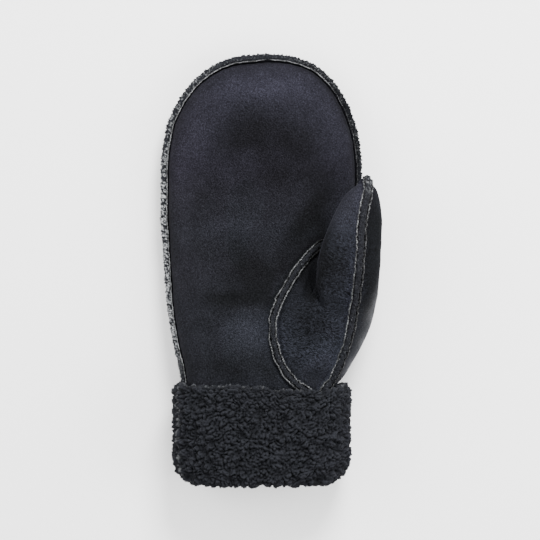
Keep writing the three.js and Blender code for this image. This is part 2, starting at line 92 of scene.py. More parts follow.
# Thumb outline seen from above, height of its middle, thickness, and lean of its wide axis
THUMB_COLUMNS = ("y", "left", "right", "middle", "thick", "lean")
THUMB = (
    (-74, 15, 38.5, 25, 14, 0),
    (-66, 5, 46.6, 25.5, 33, 1),
    (-56, -1, 52.8, 26, 38.5, 3),
    (-44, -4, 58.8, 27, 39, 6),
    (-33, -2, 63.6, 29, 37, 10),
    (-25, 8, 65.8, 32, 33.5, 14),
    (-17, 24, 67.2, 36.6, 29, 18),
    (-8, 28.4, 68.2, 41.2, 26, 20),
    (2, 29.2, 69.1, 43.6, 25, 21),
    (13, 31.4, 69.5, 44, 24.5, 21),
    (24, 35.2, 69.5, 43.2, 23.5, 21),
    (33, 39, 69.5, 41.8, 22, 20),
    (40, 42.6, 69.1, 40.4, 20.5, 19),
    (46, 46, 68.1, 39, 18, 18),
    (50.5, 49.9, 66.9, 38, 15, 17),
    (54, 54.4, 64.8, 37.2, 10, 16),
    (56, 59, 62.4, 36.8, 3, 15),
)

# Soft hollows pressed into the palm: x, y, reach and depth, which is negative for a swell
DENTS = (
    (-6, 62, 34, 1.6),
    (-34, 6, 30, 1.3),
    (16, 30, 20, 1.2),
    (44, 22, 26, 3.6),
    (-24, -42, 22, -1.2),
    (-22, 96, 26, -0.9),
)

# The seam along the thumb's outer side and the one that sets the thumb piece in, seen from above
THUMB_SEAM = (
    (32, -118), (32, -98), (32, -84), (32.8, -76), (35.2, -71), (37.8, -67), (41.2, -60),
    (45.2, -50), (48, -41), (50.2, -30), (52.2, -17), (53.5, -6), (54.5, 4), (55.3, 13),
    (55.8, 24), (57, 34), (59.4, 44),
)
BASE_SEAM = (
    (33, -82), (25, -75.5), (17.5, -70.8), (11.5, -64.8), (7.2, -57.5), (4, -47.5), (2.9, -36.5),
    (4, -26), (7, -17), (12.8, -6), (18.8, 3.4), (26.4, 12.4), (33, 17.2), (40, 18), (46, 15.5),
    (50, 11.5), (52.4, 8),
)
THUMB_ROUND = (46.5, 49.5, 52.2, 54.4)
THUMB_TOP_ANGLE = 90.0
MEETING_Y = 4  # where the thumb's set-in seam meets the outside seam
SEAM_STEP = 0.6
THUMB_UNDER = ((42, 270.4), (36, 280), (27, 280), (18, 280), (9, 280), (1, 280), (-7, 285), (-13, 290))
CROTCH = (49.8, -19.8, 21.6)
EDGE_TILT = math.radians(40)
EDGE_FLARE = 1.7  # the edge seam's wool and its back lip spread this far outwards

# The wool's section between the lips, as shares of its half width and its height
PILE_PROFILE = (
    (1, 0), (1, 0.4), (1, 0.66), (0.94, 0.84), (0.75, 0.95), (0.45, 1), (0.15, 1.02), (-0.15, 1.02),
    (-0.45, 1), (-0.75, 0.95), (-0.94, 0.84), (-1, 0.66), (-1, 0.4), (-1, 0),
)

STRIP_FOOT = -2.6  # the wool starts this deep under the suede
STRIP_NARROWING = 1.4  # and is this much narrower at the upper right
NUB_HEIGHT = 1.25

# Half width of each seam and height of its lips as a share, on its palm or thumb side and on the other
SEAM_HALF = {"edge": (1.2, 3.2), "thumb": (3.0, 3.0), "base": (2.4, 2.4)}
LIP_SHARE = {"edge": (0.62, 1.0), "thumb": (0.9, 0.9), "base": (0.85, 0.85)}
LIP_RINGS = (0.12, 0.34, 0.6, 0.84, 1.0)
LIP_LEAN = 0.4  # every lip leans inwards a little over the wool
LIP_LEAST = 0.05
VALLEY_DEPTH = {"edge": 0.9, "thumb": 0.35, "base": 0.7}
VALLEY_WIDTH = 1.5
SEAM_REACH = 16.0  # the suede is drawn in at the seams up to this far from them
PUCKER_HEIGHT = 0.16
# The groove's painted shade: a dark band painted beside the edge seam's lip on the palm
GROOVE_SHADE = {"width": 3.3, "more": 1.8}  # the dark groove in the palm, which is wider at the upper right

# How bright the cut edges are, by panel and seam
EDGE_LIGHT = {
    ("palm", "edge"): 0.72, ("back", "edge"): 0.7, ("back", "thumb"): 0.36, ("thumb", "thumb"): 0.54,
}
OTHER_EDGE_LIGHT = 0.6

# The turned-up cuff: offset out of the wrist's surface and place along it
CUFF = (
    (0.65, -99), (0.7, -76), (1.8, -70.9), (4.4, -69.8), (7.2, -70.8), (8.9, -74), (9.3, -81),
    (9.3, -90), (9.3, -100), (9.3, -110), (9.3, -118), (9.1, -124), (8, -129), (5.4, -132.6),
    (1.4, -133.8), (-2.6, -132.4), (-4.6, -128.7), (-5, -123), (-5, -117),
)
CUFF_INNER = ((-1.6, -117), (-1.6, -124.4), (0.65, -124.4), (0.65, -112), (0.65, -98), (0.65, -86))
CUFF_SAG = {"x": 30.0, "reach": 34.0, "depth": 4.0, "fade": 16.0}
CUFF_ROUND = {"from": -112.0, "over": 23.5, "share": 0.27, "middle": -8.0}  # the hem draws in at its corners
CUFF_SEAM = {"left": 40.0, "right": 24.0, "apart": 93.2}
CUFF_COLUMNS = (380, 250)  # columns of the cuff's grid over the palm side and over the back
CUFF_STEP = 0.41


def tabled(table, names):
    """The columns of a table by name, as arrays."""
    return dict(zip(names, np.array(table, float).T))


HAND_TABLE = tabled(HAND, HAND_COLUMNS)
THUMB_TABLE = tabled(THUMB, THUMB_COLUMNS)


def column(table, name, y):
    """A smooth value of one column at y, through the rows of a table."""
    at = table["y"]
    value = table[name]
    y = np.clip(np.asarray(y, float), at[0], at[-1])
    i = np.clip(np.searchsorted(at, y, side="right") - 1, 0, len(at) - 2)
    low = np.maximum(np.arange(len(at)) - 1, 0)
    high = np.minimum(np.arange(len(at)) + 1, len(at) - 1)
    slope = (value[high] - value[low]) / (at[high] - at[low])
    width = at[i + 1] - at[i]
    t = (y - at[i]) / width
    return (
        value[i] * (2 * t**3 - 3 * t**2 + 1)
        + value[i + 1] * (3 * t**2 - 2 * t**3)
        + slope[i] * width * (t**3 - 2 * t**2 + t)
        + slope[i + 1] * width * (t**3 - t**2)
    )


def signed_power(v, e):
    return np.sign(v) * np.abs(v) ** e


def fade(v, start, end):
    """0 up to start and 1 from end on, with a soft step between; end may lie below start."""
    v = np.clip((v - start) / (end - start), 0, 1)
    return v * v * (3 - 2 * v)


def bell(v, width):
    """1 where v is nothing, fading away over a width to either side."""
    return np.exp(-((v / width) ** 2))


def dent_at(x, y):
    """How far the palm is pressed in at a point seen from above."""
    total = np.zeros(np.broadcast(x, y).shape)
    for cx, cy, reach, depth in DENTS:
        total = total + depth * np.exp(-((x - cx) ** 2 + (y - cy) ** 2) / reach**2)
    return total


def tip_lean(y):
    return TIP_LEAN * fade(y, 90, 126)


def hand_points(y, angle, grow=0.0):
    """Points of the hand's cross-sections: a row for each y, a column for each angle."""
    y = np.asarray(y, float)[:, None]
    angle = np.asarray(angle, float)[None, :]
    side = np.minimum(y, SIDE_Y)
    left, right = column(HAND_TABLE, "left", side), column(HAND_TABLE, "right", side)
    seam = column(HAND_TABLE, "seam", y)
    closing = np.clip((y - SIDE_Y) / (TIP_Y - SIDE_Y), 0, 1)
    rounding = 1 - closing**TIP_POWER
    swell = rounding**TIP_SWELL
    half = (right - left) / 2 * rounding ** (1 / TIP_POWER) + grow
    up = (column(HAND_TABLE, "top", y) - seam) * swell
    down = (seam - column(HAND_TABLE, "bottom", y)) * swell
    mix = np.clip((y - CUFF_TOP_Y) / POWER_CHANGE, 0, 1)
    power = CUFF_POWER * (1 - mix) + HAND_POWER * mix
    height = np.where(np.sin(angle) > 0, up, down)
    x = (left + right) / 2 + tip_lean(y) + half * signed_power(np.cos(angle), 2 / power)
    rise = (height + grow) * signed_power(np.sin(angle), 2 / power)
    dented = np.clip((y - CUFF_TOP_Y) / DENTS_FADE, 0, 1) * (rise > 0)
    share = np.clip(rise / np.maximum(height, 1e-6), 0, 1) ** 2
    z = np.maximum(seam + rise - dent_at(x, y) * dented * share, 0)
    return np.stack((x, y + 0 * x, z), axis=-1)


def thumb_shape(y):
    """Middle, half width, half thickness and lean of the thumb's cross-section at y."""
    left, right, middle, thick, lean = (column(THUMB_TABLE, name, y) for name in THUMB_COLUMNS[1:])
    lean = -np.radians(lean)
    thin = thick / 2
    wide = np.sqrt(np.maximum(((right - left) / 2) ** 2 - (thin * np.sin(lean)) ** 2, 0.01))
    return (left + right) / 2, middle, wide / np.cos(lean), thin, lean


def thumb_points(y, angle):
    """Points of the thumb's cross-sections: a row for each y, a column for each angle."""
    y = np.asarray(y, float)[:, None]
    angle = np.asarray(angle, float)[None, :]
    x, z, half, thin, lean = thumb_shape(y)
    across = half * signed_power(np.cos(angle), 2 / THUMB_POWER)
    rise = thin * signed_power(np.sin(angle), 2 / THUMB_POWER)
    height = z + across * np.sin(lean) + rise * np.cos(lean)
    return np.stack(
        (x + across * np.cos(lean) - rise * np.sin(lean), y + 0 * across, np.maximum(height, 0)), axis=-1,
    )


def turns(count):
    return np.linspace(0, 2 * math.pi, count, endpoint=False)


def placed(points):
    """Pattern points in millimetres as frame points in metres."""
    return (np.asarray(points, float) + CENTRING) * MM


def unplaced(points):
    """Frame points in metres as pattern points in millimetres."""
    return np.asarray(points, float) / MM - CENTRING


def spread(values, step):
    """More values between those given, about a step apart."""
    out = []
    for a, b in zip(values[:-1], values[1:]):
        n = max(1, round(abs(b - a) / step))
        out.extend(a + (b - a) * k / n for k in range(n))
    return np.array(out + [values[-1]])


def run_length(points):
    """The distance run along a line of points up to each."""
    return np.concatenate(((0,), np.cumsum(np.linalg.norm(np.diff(points, axis=0), axis=1))))


def through(points, step):
    """A smooth line through points, resampled at even steps (Catmull-Rom)."""
    p = np.array(points, float)
    before = np.vstack((2 * p[0] - p[1], p[:-1]))
    after = np.vstack((p[1:], 2 * p[-1] - p[-2]))
    fine = []
    for i in range(len(p) - 1):
        a, b, c, d = before[i], p[i], p[i + 1], after[i + 1]
        t = np.linspace(0, 1, 24, endpoint=False)[:, None]
        fine.append(
            0.5 * (2 * b + (c - a) * t + (2 * a - 5 * b + 4 * c - d) * t**2 + (3 * b - a - 3 * c + d) * t**3)
        )
    fine = np.vstack((*fine, p[-1:]))
    along = run_length(fine)
    even = np.linspace(0, along[-1], max(2, round(along[-1] / step)) + 1)
    return np.stack([np.interp(even, along, fine[:, k]) for k in range(3)], axis=1)


def unit(v):
    return v / np.maximum(np.linalg.norm(v, axis=-1, keepdims=True), 1e-9)


def averaged(values, reach):
    """A running average over reach samples on either side."""
    kernel = np.ones(2 * reach + 1) / (2 * reach + 1)
    padded = np.pad(values, ((reach, reach), (0, 0)), mode="edge")
    return np.stack([np.convolve(padded[:, k], kernel, "valid") for k in range(values.shape[1])], axis=1)


def new_object(name, vertices, faces):
    mesh = bpy.data.meshes.new(name)
    mesh.from_pydata(vertices.tolist(), [], faces)
    mesh.update()
    piece = bpy.data.objects.new(name, mesh)
    bpy.context.scene.collection.objects.link(piece)
    return piece


def grid_faces(rows, around):
    """Quads between rings of points."""
    return [
        (first + i, first + j, first + around + j, first + around + i)
        for first in range(0, (rows - 1) * around, around)
        for i, j in ((i, (i + 1) % around) for i in range(around))
    ]


def tube_object(name, points):
    """A closed tube through rings of points, its ends capped."""
    rows, around = points.shape[:2]
    faces = grid_faces(rows, around)
    faces.append(tuple(reversed(range(around))))
    faces.append(tuple(range((rows - 1) * around, rows * around)))
    tube = new_object(name, placed(points.reshape(-1, 3)), faces)
    recalculate_outside(tube)
    return tube


def only(obj):
    """Makes obj the one selected and active object."""
    bpy.ops.object.select_all(action="DESELECT")
    obj.select_set(True)
    bpy.context.view_layer.objects.active = obj


def recalculate_outside(obj):
    only(obj)
    bpy.ops.object.mode_set(mode="EDIT")
    bpy.ops.mesh.select_all(action="SELECT")
    bpy.ops.mesh.normals_make_consistent(inside=False)
    bpy.ops.mesh.select_all(action="DESELECT")
    bpy.ops.object.mode_set(mode="OBJECT")


def modified(obj, kind, **settings):
    """Adds a modifier, sets it and applies it."""
    only(obj)
    modifier = obj.modifiers.new(kind.lower(), kind)
    for key, value in settings.items():
        setattr(modifier, key, value)
    bpy.ops.object.modifier_apply(modifier=modifier.name)


def joined(objects):
    only(objects[0])
    for obj in objects:
        obj.select_set(True)
    bpy.ops.object.join()
    return objects[0]


def vertex_vectors(obj, name):
    values = np.empty(len(obj.data.vertices) * 3)
    obj.data.vertices.foreach_get(name, values)
    return values.reshape(-1, 3)


def pattern_points(obj):
    """An object's points in pattern millimetres."""
    return unplaced(vertex_vectors(obj, "co"))


def normals(obj):
    return vertex_vectors(obj, "normal")


def set_points(obj, points):
    """Moves an object's points to pattern places."""
    obj.data.vertices.foreach_set("co", placed(points).ravel())
    obj.data.update()


def nub_distances(points, size, seed):
    """Each point's distances to the two nearest nubs' middles, as shares of the nubs' size."""
    shift = Vector((seed * 17.3, seed * 5.1, seed * 9.7))
    return np.array([noise.voronoi(Vector(p) / size + shift)[0][:2] for p in points]).T


def bumps(points, size, seed):
    """Rounded nubs of about a size, 1 at their middles and 0 in the clefts between them."""
    first, second = nub_distances(points, size, seed)
    return np.maximum(0, 1 - (first / 0.75) ** 2) * np.minimum(1, (second - first) * 3.2)


def clefts(points, size, seed, width):
    """1 along the clefts between the nubs of the same size and seed, fading to 0 at a share of that size."""
    first, second = nub_distances(points, size, seed)
    return 1 - fade(second - first, 0, width)


def ripple(points, size, seed):
    """Smooth noise between about -1 and 1."""
    shift = Vector((seed * 11.9, seed * 3.7, seed * 7.3))
    return np.array([noise.noise(Vector(p) / size + shift) for p in points])


def wander(points, size, seed):
    """Smooth noise in each direction."""
    return np.stack([ripple(points, size, seed * 3 + k) for k in range(3)], axis=1)


def set_attribute(piece, name, values):
    """Gives a piece a value at each point, for its materials to read."""
    attribute = piece.data.attributes.new(name, "FLOAT", "POINT")
    attribute.data.foreach_set("value", np.asarray(values, np.float32))


class MittenSizes(bpy.types.PropertyGroup):
    suede_thickness: bpy.props.FloatProperty(
        name="Suede thickness", description="Thickness of the suede at its cut edges",
        default=0.85 * MM, min=0.2 * MM, max=3 * MM, unit="LENGTH",
    )
    lip_height: bpy.props.FloatProperty(
        name="Lip height", description="How far the cut edges stand out at the seams",
        default=3.3 * MM, min=1 * MM, max=8 * MM, unit="LENGTH",
    )
    curl_size: bpy.props.FloatProperty(
        name="Curl size", description="Width of the wool's curls on the cuff",
        default=1.3 * MM, min=1 * MM, max=8 * MM, unit="LENGTH",
    )
    curl_height: bpy.props.FloatProperty(
        name="Curl height", description="How far the curls stand over the clefts between them",
        default=1.5 * MM, min=0.2 * MM, max=4 * MM, unit="LENGTH",
    )
    strand_radius: bpy.props.FloatProperty(
        name="Strand radius", description="Radius of a loose strand of wool",
        default=0.07 * MM, min=0.01 * MM, max=0.5 * MM, unit="LENGTH",
    )


class MittenColours(bpy.types.PropertyGroup):
    suede: bpy.props.FloatVectorProperty(
        name="Suede", description="Main colour of the suede",
        subtype="COLOR", default=(0.0034, 0.0035, 0.0043),
    )
    # The light end of the suede's nap tone, which also serves as painted light on the palm side
    suede_light_nap_and_painted_light: bpy.props.FloatVectorProperty(
        name="Brushed suede", description="Colour where the nap is brushed the light way",
        subtype="COLOR", default=(0.0151, 0.0152, 0.0214),
    )
    # Colour of the painted sheen: the nap's glow at grazing light on the thumb's lower outer side
    painted_sheen_colour: bpy.props.FloatVectorProperty(
        name="Pale nap", description="Colour of the rubbed nap on the thumb's outer side",
        subtype="COLOR", default=(0.092, 0.092, 0.097),
    )
    wool: bpy.props.FloatVectorProperty(
        name="Wool", description="Colour of the curly pile",
        subtype="COLOR", default=(0.0091, 0.0096, 0.0118),
    )
    wool_grey: bpy.props.FloatVectorProperty(
        name="Grey wool", description="Colour of the light hairs at the seams",
        subtype="COLOR", default=(0.10, 0.105, 0.108),
    )
    cut_edge: bpy.props.FloatVectorProperty(
        name="Cut edge", description="Colour of the suede's cut edges",
        subtype="COLOR", default=(0.2, 0.205, 0.21),
    )
    floor: bpy.props.FloatVectorProperty(
        name="Floor", description="Colour of the floor", subtype="COLOR", default=(0.95, 0.95, 0.95),
    )


def sizes():
    return bpy.context.scene.mitten_sizes


def colours():
    return bpy.context.scene.mitten_colours


# Materials

def node_material(name):
    """A new material with its Principled shader, and a function that adds a linked node to it."""
    material = bpy.data.materials.new(name)
    material.use_nodes = True
    tree = material.node_tree
    shader = tree.nodes["Principled BSDF"]

    def add(kind, inputs=None, **settings):
        node = tree.nodes.new(kind)
        for key, value in settings.items():
            setattr(node, key, value)
        for key, value in (inputs or {}).items():
            if isinstance(value, bpy.types.NodeSocket):
                tree.links.new(value, node.inputs[key])
            else:
                node.inputs[key].default_value = value
        return node

    return material, shader, add, tree.links.new


def ramp(add, factor, *stops):
    """A colour ramp with stops of (position, colour)."""
    node = add("ShaderNodeValToRGB", {"Fac": factor})
    while len(node.color_ramp.elements) < len(stops):
        node.color_ramp.elements.new(0.5)
    for element, (position, colour) in zip(node.color_ramp.elements, stops):
        element.position = position
        element.color = (*colour, 1)
    return node.outputs["Color"]


def grey(v):
    return (v, v, v)


def mixed(add, factor, first, second, blend="MIX"):
    """Two colours mixed by a factor, or blended in another way."""
    node = add("ShaderNodeMix", {"Factor": factor, 6: first, 7: second}, data_type="RGBA", blend_type=blend)
    return node.outputs[2]


def multiplied(add, first, *others):
    """Colours multiplied."""
    for other in others:
        first = mixed(add, 1.0, first, other, "MULTIPLY")
    return first


def attribute(add, name):
    """A piece's own value at each point."""
    return add("ShaderNodeAttribute", attribute_name=name).outputs["Fac"]


def specks(add, place, scale, detail, roughness):
    """A noise texture's value."""
    inputs = {"Vector": place, "Scale": scale, "Detail": detail, "Roughness": roughness}
    return add("ShaderNodeTexNoise", inputs).outputs["Fac"]


def mapped(add, value, start, end, low=0.0, **settings):
    """A value's run from start to end, mapped to low to 1."""
    inputs = {"Value": value, "From Min": start, "From Max": end, "To Min": low}
    return add("ShaderNodeMapRange", inputs, **settings).outputs["Result"]


def reckoned(add, operation, first, second):
    """The outcome of an operation on two values."""
    return add("ShaderNodeMath", {0: first, 1: second}, operation=operation).outputs[0]


def turned_place(add, place, turn, stretch):
    """The place turned about the vertical, so that a pattern is stretched along the turned direction."""
    inputs = {"Vector": place, "Rotation": (0, 0, turn), "Scale": (stretch, 1, 1)}
    return add("ShaderNodeMapping", inputs, vector_type="TEXTURE").outputs["Vector"]


def set_gloss(shader, roughness, specular, **sheen):
    """Sets the shader's roughness and specular level, and its sheen by the sockets' last words."""
    shader.inputs["Roughness"].default_value = roughness
    shader.inputs["Specular IOR Level"].default_value = specular
    for name, value in sheen.items():
        shader.inputs[f"Sheen {name}"].default_value = value


def set_relief(add, link, shader, height, strength, distance):
    """Gives the surface small relief from a texture's value."""
    bump = add("ShaderNodeBump", {"Height": height, "Strength": strength, "Distance": distance})
    link(bump.outputs["Normal"], shader.inputs["Normal"])


def bent_place(add, place, scale, amount):
    """The place moved about by noise, for swirling textures."""
    warp = add("ShaderNodeTexNoise", {"Vector": place, "Scale": scale, "Detail": 2.0})
    swirl = add("ShaderNodeVectorMath", {0: warp.outputs["Color"], "Scale": amount}, operation="SCALE")
    bent = add("ShaderNodeVectorMath", {0: place, 1: swirl.outputs["Vector"]}, operation="ADD")
    return bent.outputs["Vector"]


def near(add, place, centre, reach):
    """1 at a centre, fading to 0 at a reach, in pattern millimetres."""
    off = add("ShaderNodeVectorMath", {0: place, 1: tuple(placed(centre))}, operation="DISTANCE")
    return mapped(add, off.outputs["Value"], reach * MM, 0.3 * reach * MM, interpolation_type="SMOOTHSTEP")


# Slight changes of the suede's hue, up from the wrist to the fingertips and across from left to right
TINGE = (
    (0.0, (0.95, 1.0, 0.94)), (0.2, (0.975, 0.99, 0.935)), (0.42, (0.955, 0.995, 0.94)),
    (0.62, (0.99, 0.985, 0.96)), (0.8, (1.03, 0.98, 1.02)), (1.0, (1.01, 0.985, 1.01)),
)
TINGE_REACH = (-0.02, 0.09)
WARMTH = ((0.0, (1.03, 0.995, 0.99)), (0.3, (1, 1, 1)), (0.8, (1, 1, 1)), (1.0, (0.99, 1.0, 1.0)))
WARMTH_REACH = (-0.055, 0.05)
FURRED = (((25, -38, 46), 40), ((48, 0, 52), 40))  # where the nap curls like fur: the mound and the thumb


@functools.cache
def suede_material():
    """Suede: broad light and dark patches that are partly nap tone and partly painted light and shade,
    painted shade in the groove by the edge seam, a painted sheen on the thumb's outer side, streaks of nap
    and fine grain.
    """
    material, shader, add, link = node_material("suede_with_painted_light")
    c = colours()
    place = add("ShaderNodeTexCoord").outputs["Object"]
    bent = bent_place(add, place, 45.0, 0.006)
    curled = turned_place(add, bent_place(add, place, 115.0, 0.0085), -0.25, 3.0)
    blotches = specks(add, bent, 110.0, 3.0, 0.6)
    streaks = specks(add, turned_place(add, bent, -0.75, 1.6), 1500.0, 3.0, 0.75)
    fur = specks(add, curled, 1350.0, 3.0, 0.7)
    grain = specks(add, place, 1700.0, 2.0, 0.7)
    furred = reckoned(add, "MAXIMUM", *(near(add, place, centre, reach) for centre, reach in FURRED))
    across, along, _ = add("ShaderNodeSeparateXYZ", {"Vector": bent}).outputs
    tinge = ramp(add, mapped(add, along, *TINGE_REACH), *TINGE)
    warmth = ramp(add, mapped(add, across, *WARMTH_REACH), *WARMTH)
    # Nap tone mixed with painted light and shade of the palm's folds and of the thumb's shadow
    broad = ramp(add, attribute(add, "nap_and_painted_light"), (0.0, c.suede), (1.0, c.suede_light_nap_and_painted_light))
    middle = ramp(add, blotches, (0.34, grey(0.95)), (0.66, grey(1.05)))
    # Painted shade in the groove beside the edge seam's lip
    shade = ramp(add, attribute(add, "valley"), (0.0, grey(1.0)), (1.0, grey(0.3)))
    calm = ramp(add, streaks, (0.38, grey(0.46)), (0.62, grey(1.56)))
    wild = ramp(add, fur, (0.41, (0.25, 0.26, 0.25)), (0.6, (1.76, 1.8, 1.88)))
    fine = ramp(add, grain, (0.4, grey(0.56)), (0.62, grey(1.52)))
    colour = multiplied(add, broad, tinge, warmth, middle, shade, mixed(add, furred, calm, wild), fine)
    # Painted sheen on the thumb's lower outer side, broken by the grain
    through_nap = mapped(add, grain, 0.36, 0.64, 0.28)
    share = reckoned(add, "MULTIPLY", attribute(add, "sheen_painted"), through_nap)
    link(mixed(add, share, colour, (*c.painted_sheen_colour, 1)), shader.inputs["Base Color"])
    set_relief(add, link, shader, streaks, 0.3, 0.0004)
    set_gloss(shader, 0.95, 0.04, Weight=0.02, Roughness=0.35, Tint=(0.75, 0.78, 1.0, 1))
    return material


@functools.cache
def cut_edge_material():
    """The suede's cut edge: a thin light line, broken by dark wool."""
    material, shader, add, link = node_material("cut_edge")
    c = colours()
    place = add("ShaderNodeTexCoord").outputs["Object"]
    spots = specks(add, place, 1200.0, 3.0, 0.75)
    gaps = specks(add, place, 240.0, 3.0, 0.6)
    light = ramp(add, spots, (0.42, c.wool), (0.58, c.cut_edge))
    shade = ramp(add, gaps, (0.38, grey(0.35)), (0.58, grey(1.06)))
    link(multiplied(add, light, shade, attribute(add, "edge_light")), shader.inputs["Base Color"])
    set_relief(add, link, shader, spots, 0.5, 0.0005)
    set_gloss(shader, 0.9, 0.1)
    return material


def scaled(colour, factor):
    return tuple(v * factor for v in colour)


@functools.cache
def wool_material(name, light_share):
    """Curly dark wool with painted shade in its clefts, lighter on its crests, and a share of light hairs."""
    material, shader, add, link = node_material(name)
    c = colours()
    place = add("ShaderNodeTexCoord").outputs["Object"]
    hairs = specks(add, bent_place(add, place, 260.0, 0.004), 1250.0, 3.0, 0.62)
    spots = specks(add, place, 900.0, 2.0, 0.8)
    tint = ramp(add, hairs, (0.34, scaled(c.wool, 0.7)), (0.64, scaled(c.wool, 1.3)))
    # Painted shade: darker in the clefts, lighter on the crests
    depth = ramp(add, attribute(add, "crest"), (0.0, grey(0.34)), (0.75, grey(1.2)))
    edge = 0.72 - 0.2 * light_share
    light = ramp(add, spots, (edge, grey(0)), (edge + 0.05, grey(1)))
    strength = reckoned(add, "MULTIPLY", light, min(1.0, light_share * 2))
    flecked = mixed(add, strength, multiplied(add, tint, depth), (*c.wool_grey, 1))
    edged = mixed(add, attribute(add, "cut"), flecked, (*scaled(c.cut_edge, 1.4), 1))
    link(edged, shader.inputs["Base Color"])
    set_relief(add, link, shader, hairs, 0.6, 0.0006)
    set_gloss(shader, 0.95, 0.06, Weight=0.02, Roughness=0.4)
    return material


@functools.cache
def strand_material():
    """Loose hairs, each with its own lightness from the strand's attribute."""
    material, shader, add, link = node_material("loose_hairs")
    c = colours()
    stops = ((0.0, scaled(c.wool, 0.7)), (0.6, scaled(c.wool, 2.0)), (1.0, c.wool_grey))
    link(ramp(add, attribute(add, "lightness"), *stops), shader.inputs["Base Color"])
    set_gloss(shader, 0.8, 0.1)
    return material


# The suede body and the lines of its seams are made once and shared by the pieces

HAND_START = -127.0  # the hand's loft and its seam begin inside the cuff
RING_STEP = {"hand": 1.6, "thumb": 1.2}  # how far apart the lofts' rings are
RING_CORNERS = {"hand": 150, "thumb": 90}
TIP_RINGS = 70
SKIN_VOXEL = 1.05
LINING_VOXEL = 2.8
LINING_DEPTH = 2.6  # the lining's outer face lies this far under the suede's
LINING_THICKNESS = {"least": 1.4, "nubs": 1.2}


@functools.cache
def body():
    """The suede's outer surface over hand and thumb as one closed skin, in metres."""
    turn = np.linspace(0, 0.985, TIP_RINGS) * math.pi / 2
    closing = SIDE_Y + (TIP_Y - SIDE_Y) * np.sin(turn) ** (2 / TIP_POWER)
    along_hand = np.concatenate((np.arange(HAND_START, SIDE_Y, RING_STEP["hand"]), closing))
    along_thumb = spread(THUMB_TABLE["y"], RING_STEP["thumb"])
    hand = tube_object("hand", hand_points(along_hand, turns(RING_CORNERS["hand"])))
    thumb = tube_object("thumb", thumb_points(along_thumb, turns(RING_CORNERS["thumb"])))
    skin = joined([hand, thumb])
    skin.name = "body"
    modified(skin, "REMESH", mode="VOXEL", voxel_size=SKIN_VOXEL * MM)
    modified(skin, "SMOOTH", factor=0.5, iterations=8)
    soften_mound(skin)
    crease(skin)
    return skin


def soften_mound(skin):
    """Evens out the rise of the thumb's mound inside its seam, with a weighted smoothing."""
    x, y, z = pattern_points(skin).T
    weight = fade(z, 30, 36) * fade(x, 2, 8) * fade(x, 42, 34) * fade(y, -68, -56) * fade(y, -5, -14)
    group = skin.vertex_groups.new(name="mound")
    for i in np.nonzero(weight > 0.02)[0]:
        group.add([int(i)], float(weight[i]), "REPLACE")
    modified(skin, "SMOOTH", factor=0.9, iterations=260, vertex_group="mound", use_x=False, use_y=False)
    modified(skin, "SMOOTH", factor=0.5, iterations=6)


# Creases and soft folds seen from above: start, middle and end of a curve, width and depth (negative swells)
FOLDS = (
    ((28.2, 3), (27.6, -10), (32.6, -22.5), 1.5, 3.8),
    ((32.4, 0), (32.2, -10), (36.0, -19), 3.0, -1.7),
    ((26.2, -2), (24.4, -9), (21, -17), 1.8, 1.3),
    ((27, -13), (25.4, -18), (21.5, -25), 1.6, 0.9),
    ((26, 9), (25.2, 1), (26, -9), 3.2, 1.6),
    ((24.6, -4), (23.4, -10), (22.2, -16), 1.1, 1.1),
    ((22.4, -11), (20.6, -16), (17.6, -21), 1.1, 0.8),
    ((23, 2), (20, -5), (14, -11), 3.0, 0.8),
    ((-24, 20), (-10, 6), (-2, -14), 8, 0.9),
    ((-34, -17), (-18, -19), (-2, -18), 4, 0.7),
    ((9, 121), (11, 115), (13, 109), 2.4, 0.35),
    ((19, 118), (21, 112), (22, 107), 2.4, 0.3),
    ((-9, 122), (-8, 117), (-8, 112), 2.4, 0.3),
    ((12, -62), (21, -58), (30, -50), 7, 0.5),
    ((-46, -60), (-33, -64), (-20, -66), 8, 0.7),
    ((-52, -44), (-43, -38), (-34, -34), 7, 0.5),
    ((-10, -62), (-3, -57), (2, -50), 6, 0.6),
    ((-48, 84), (-36, 96), (-20, 104), 16, 0.5),
)
FOLD_SAMPLES = 25
FOLD_REACH = 2.5  # how far a fold is followed to either side, in widths


def crease(skin):
    """Presses the folds into the palm side, and lets the whole skin wander a little."""
    co, direction = pattern_points(skin), normals(skin)
    palm = fade(direction[:, 2], -0.1, 0.4)
    push = np.zeros(len(co))
    t = np.linspace(0, 1, FOLD_SAMPLES)[:, None]
    for start, middle, end, width, depth in FOLDS:
        start, middle, end = np.array((start, middle, end), float)
        pull = 2 * middle - (start + end) / 2
        curve = start * (1 - t) ** 2 + pull * 2 * t * (1 - t) + end * t**2
        low, high = curve.min(axis=0) - FOLD_REACH * width, curve.max(axis=0) + FOLD_REACH * width
        close = np.nonzero(((co[:, :2] > low) & (co[:, :2] < high)).all(axis=1))[0]
        off = np.linalg.norm(co[close, None, :2] - curve[None], axis=2)
        fading = np.sin(np.clip(t[off.argmin(axis=1), 0], 0.02, 0.98) * math.pi) ** 0.5
        push[close] -= depth * fading * bell(off.min(axis=1), width) * palm[close]
    push += (ripple(co, 26.0, 1) * 0.9 + ripple(co, 9.0, 2) * 0.25) * fade(co[:, 2], 0, 8)
    set_points(skin, co + direction * push[:, None])


@functools.cache
def surface_tree():
    return BVHTree.FromObject(body(), bpy.context.evaluated_depsgraph_get())


def dropped(x, y, z=200.0):
    """The body's point straight below a point."""
    return unplaced(surface_tree().ray_cast(Vector(placed((x, y, z))), Vector((0, 0, -1)))[0])


def below_thumb(x, y):
    """A height just over the hand's palm side, and so under the thumb where that hangs over it."""
    ring = hand_points([y], np.linspace(0, math.pi, 181))[0]
    return np.interp(-x, -ring[:, 0], ring[:, 2]) + 4.0


def tree_of(points):
    """A lookup tree of points, numbered in their order."""
    tree = KDTree(len(points))
    for k, p in enumerate(points):
        tree.insert(p, k)
    tree.balance()
    return tree


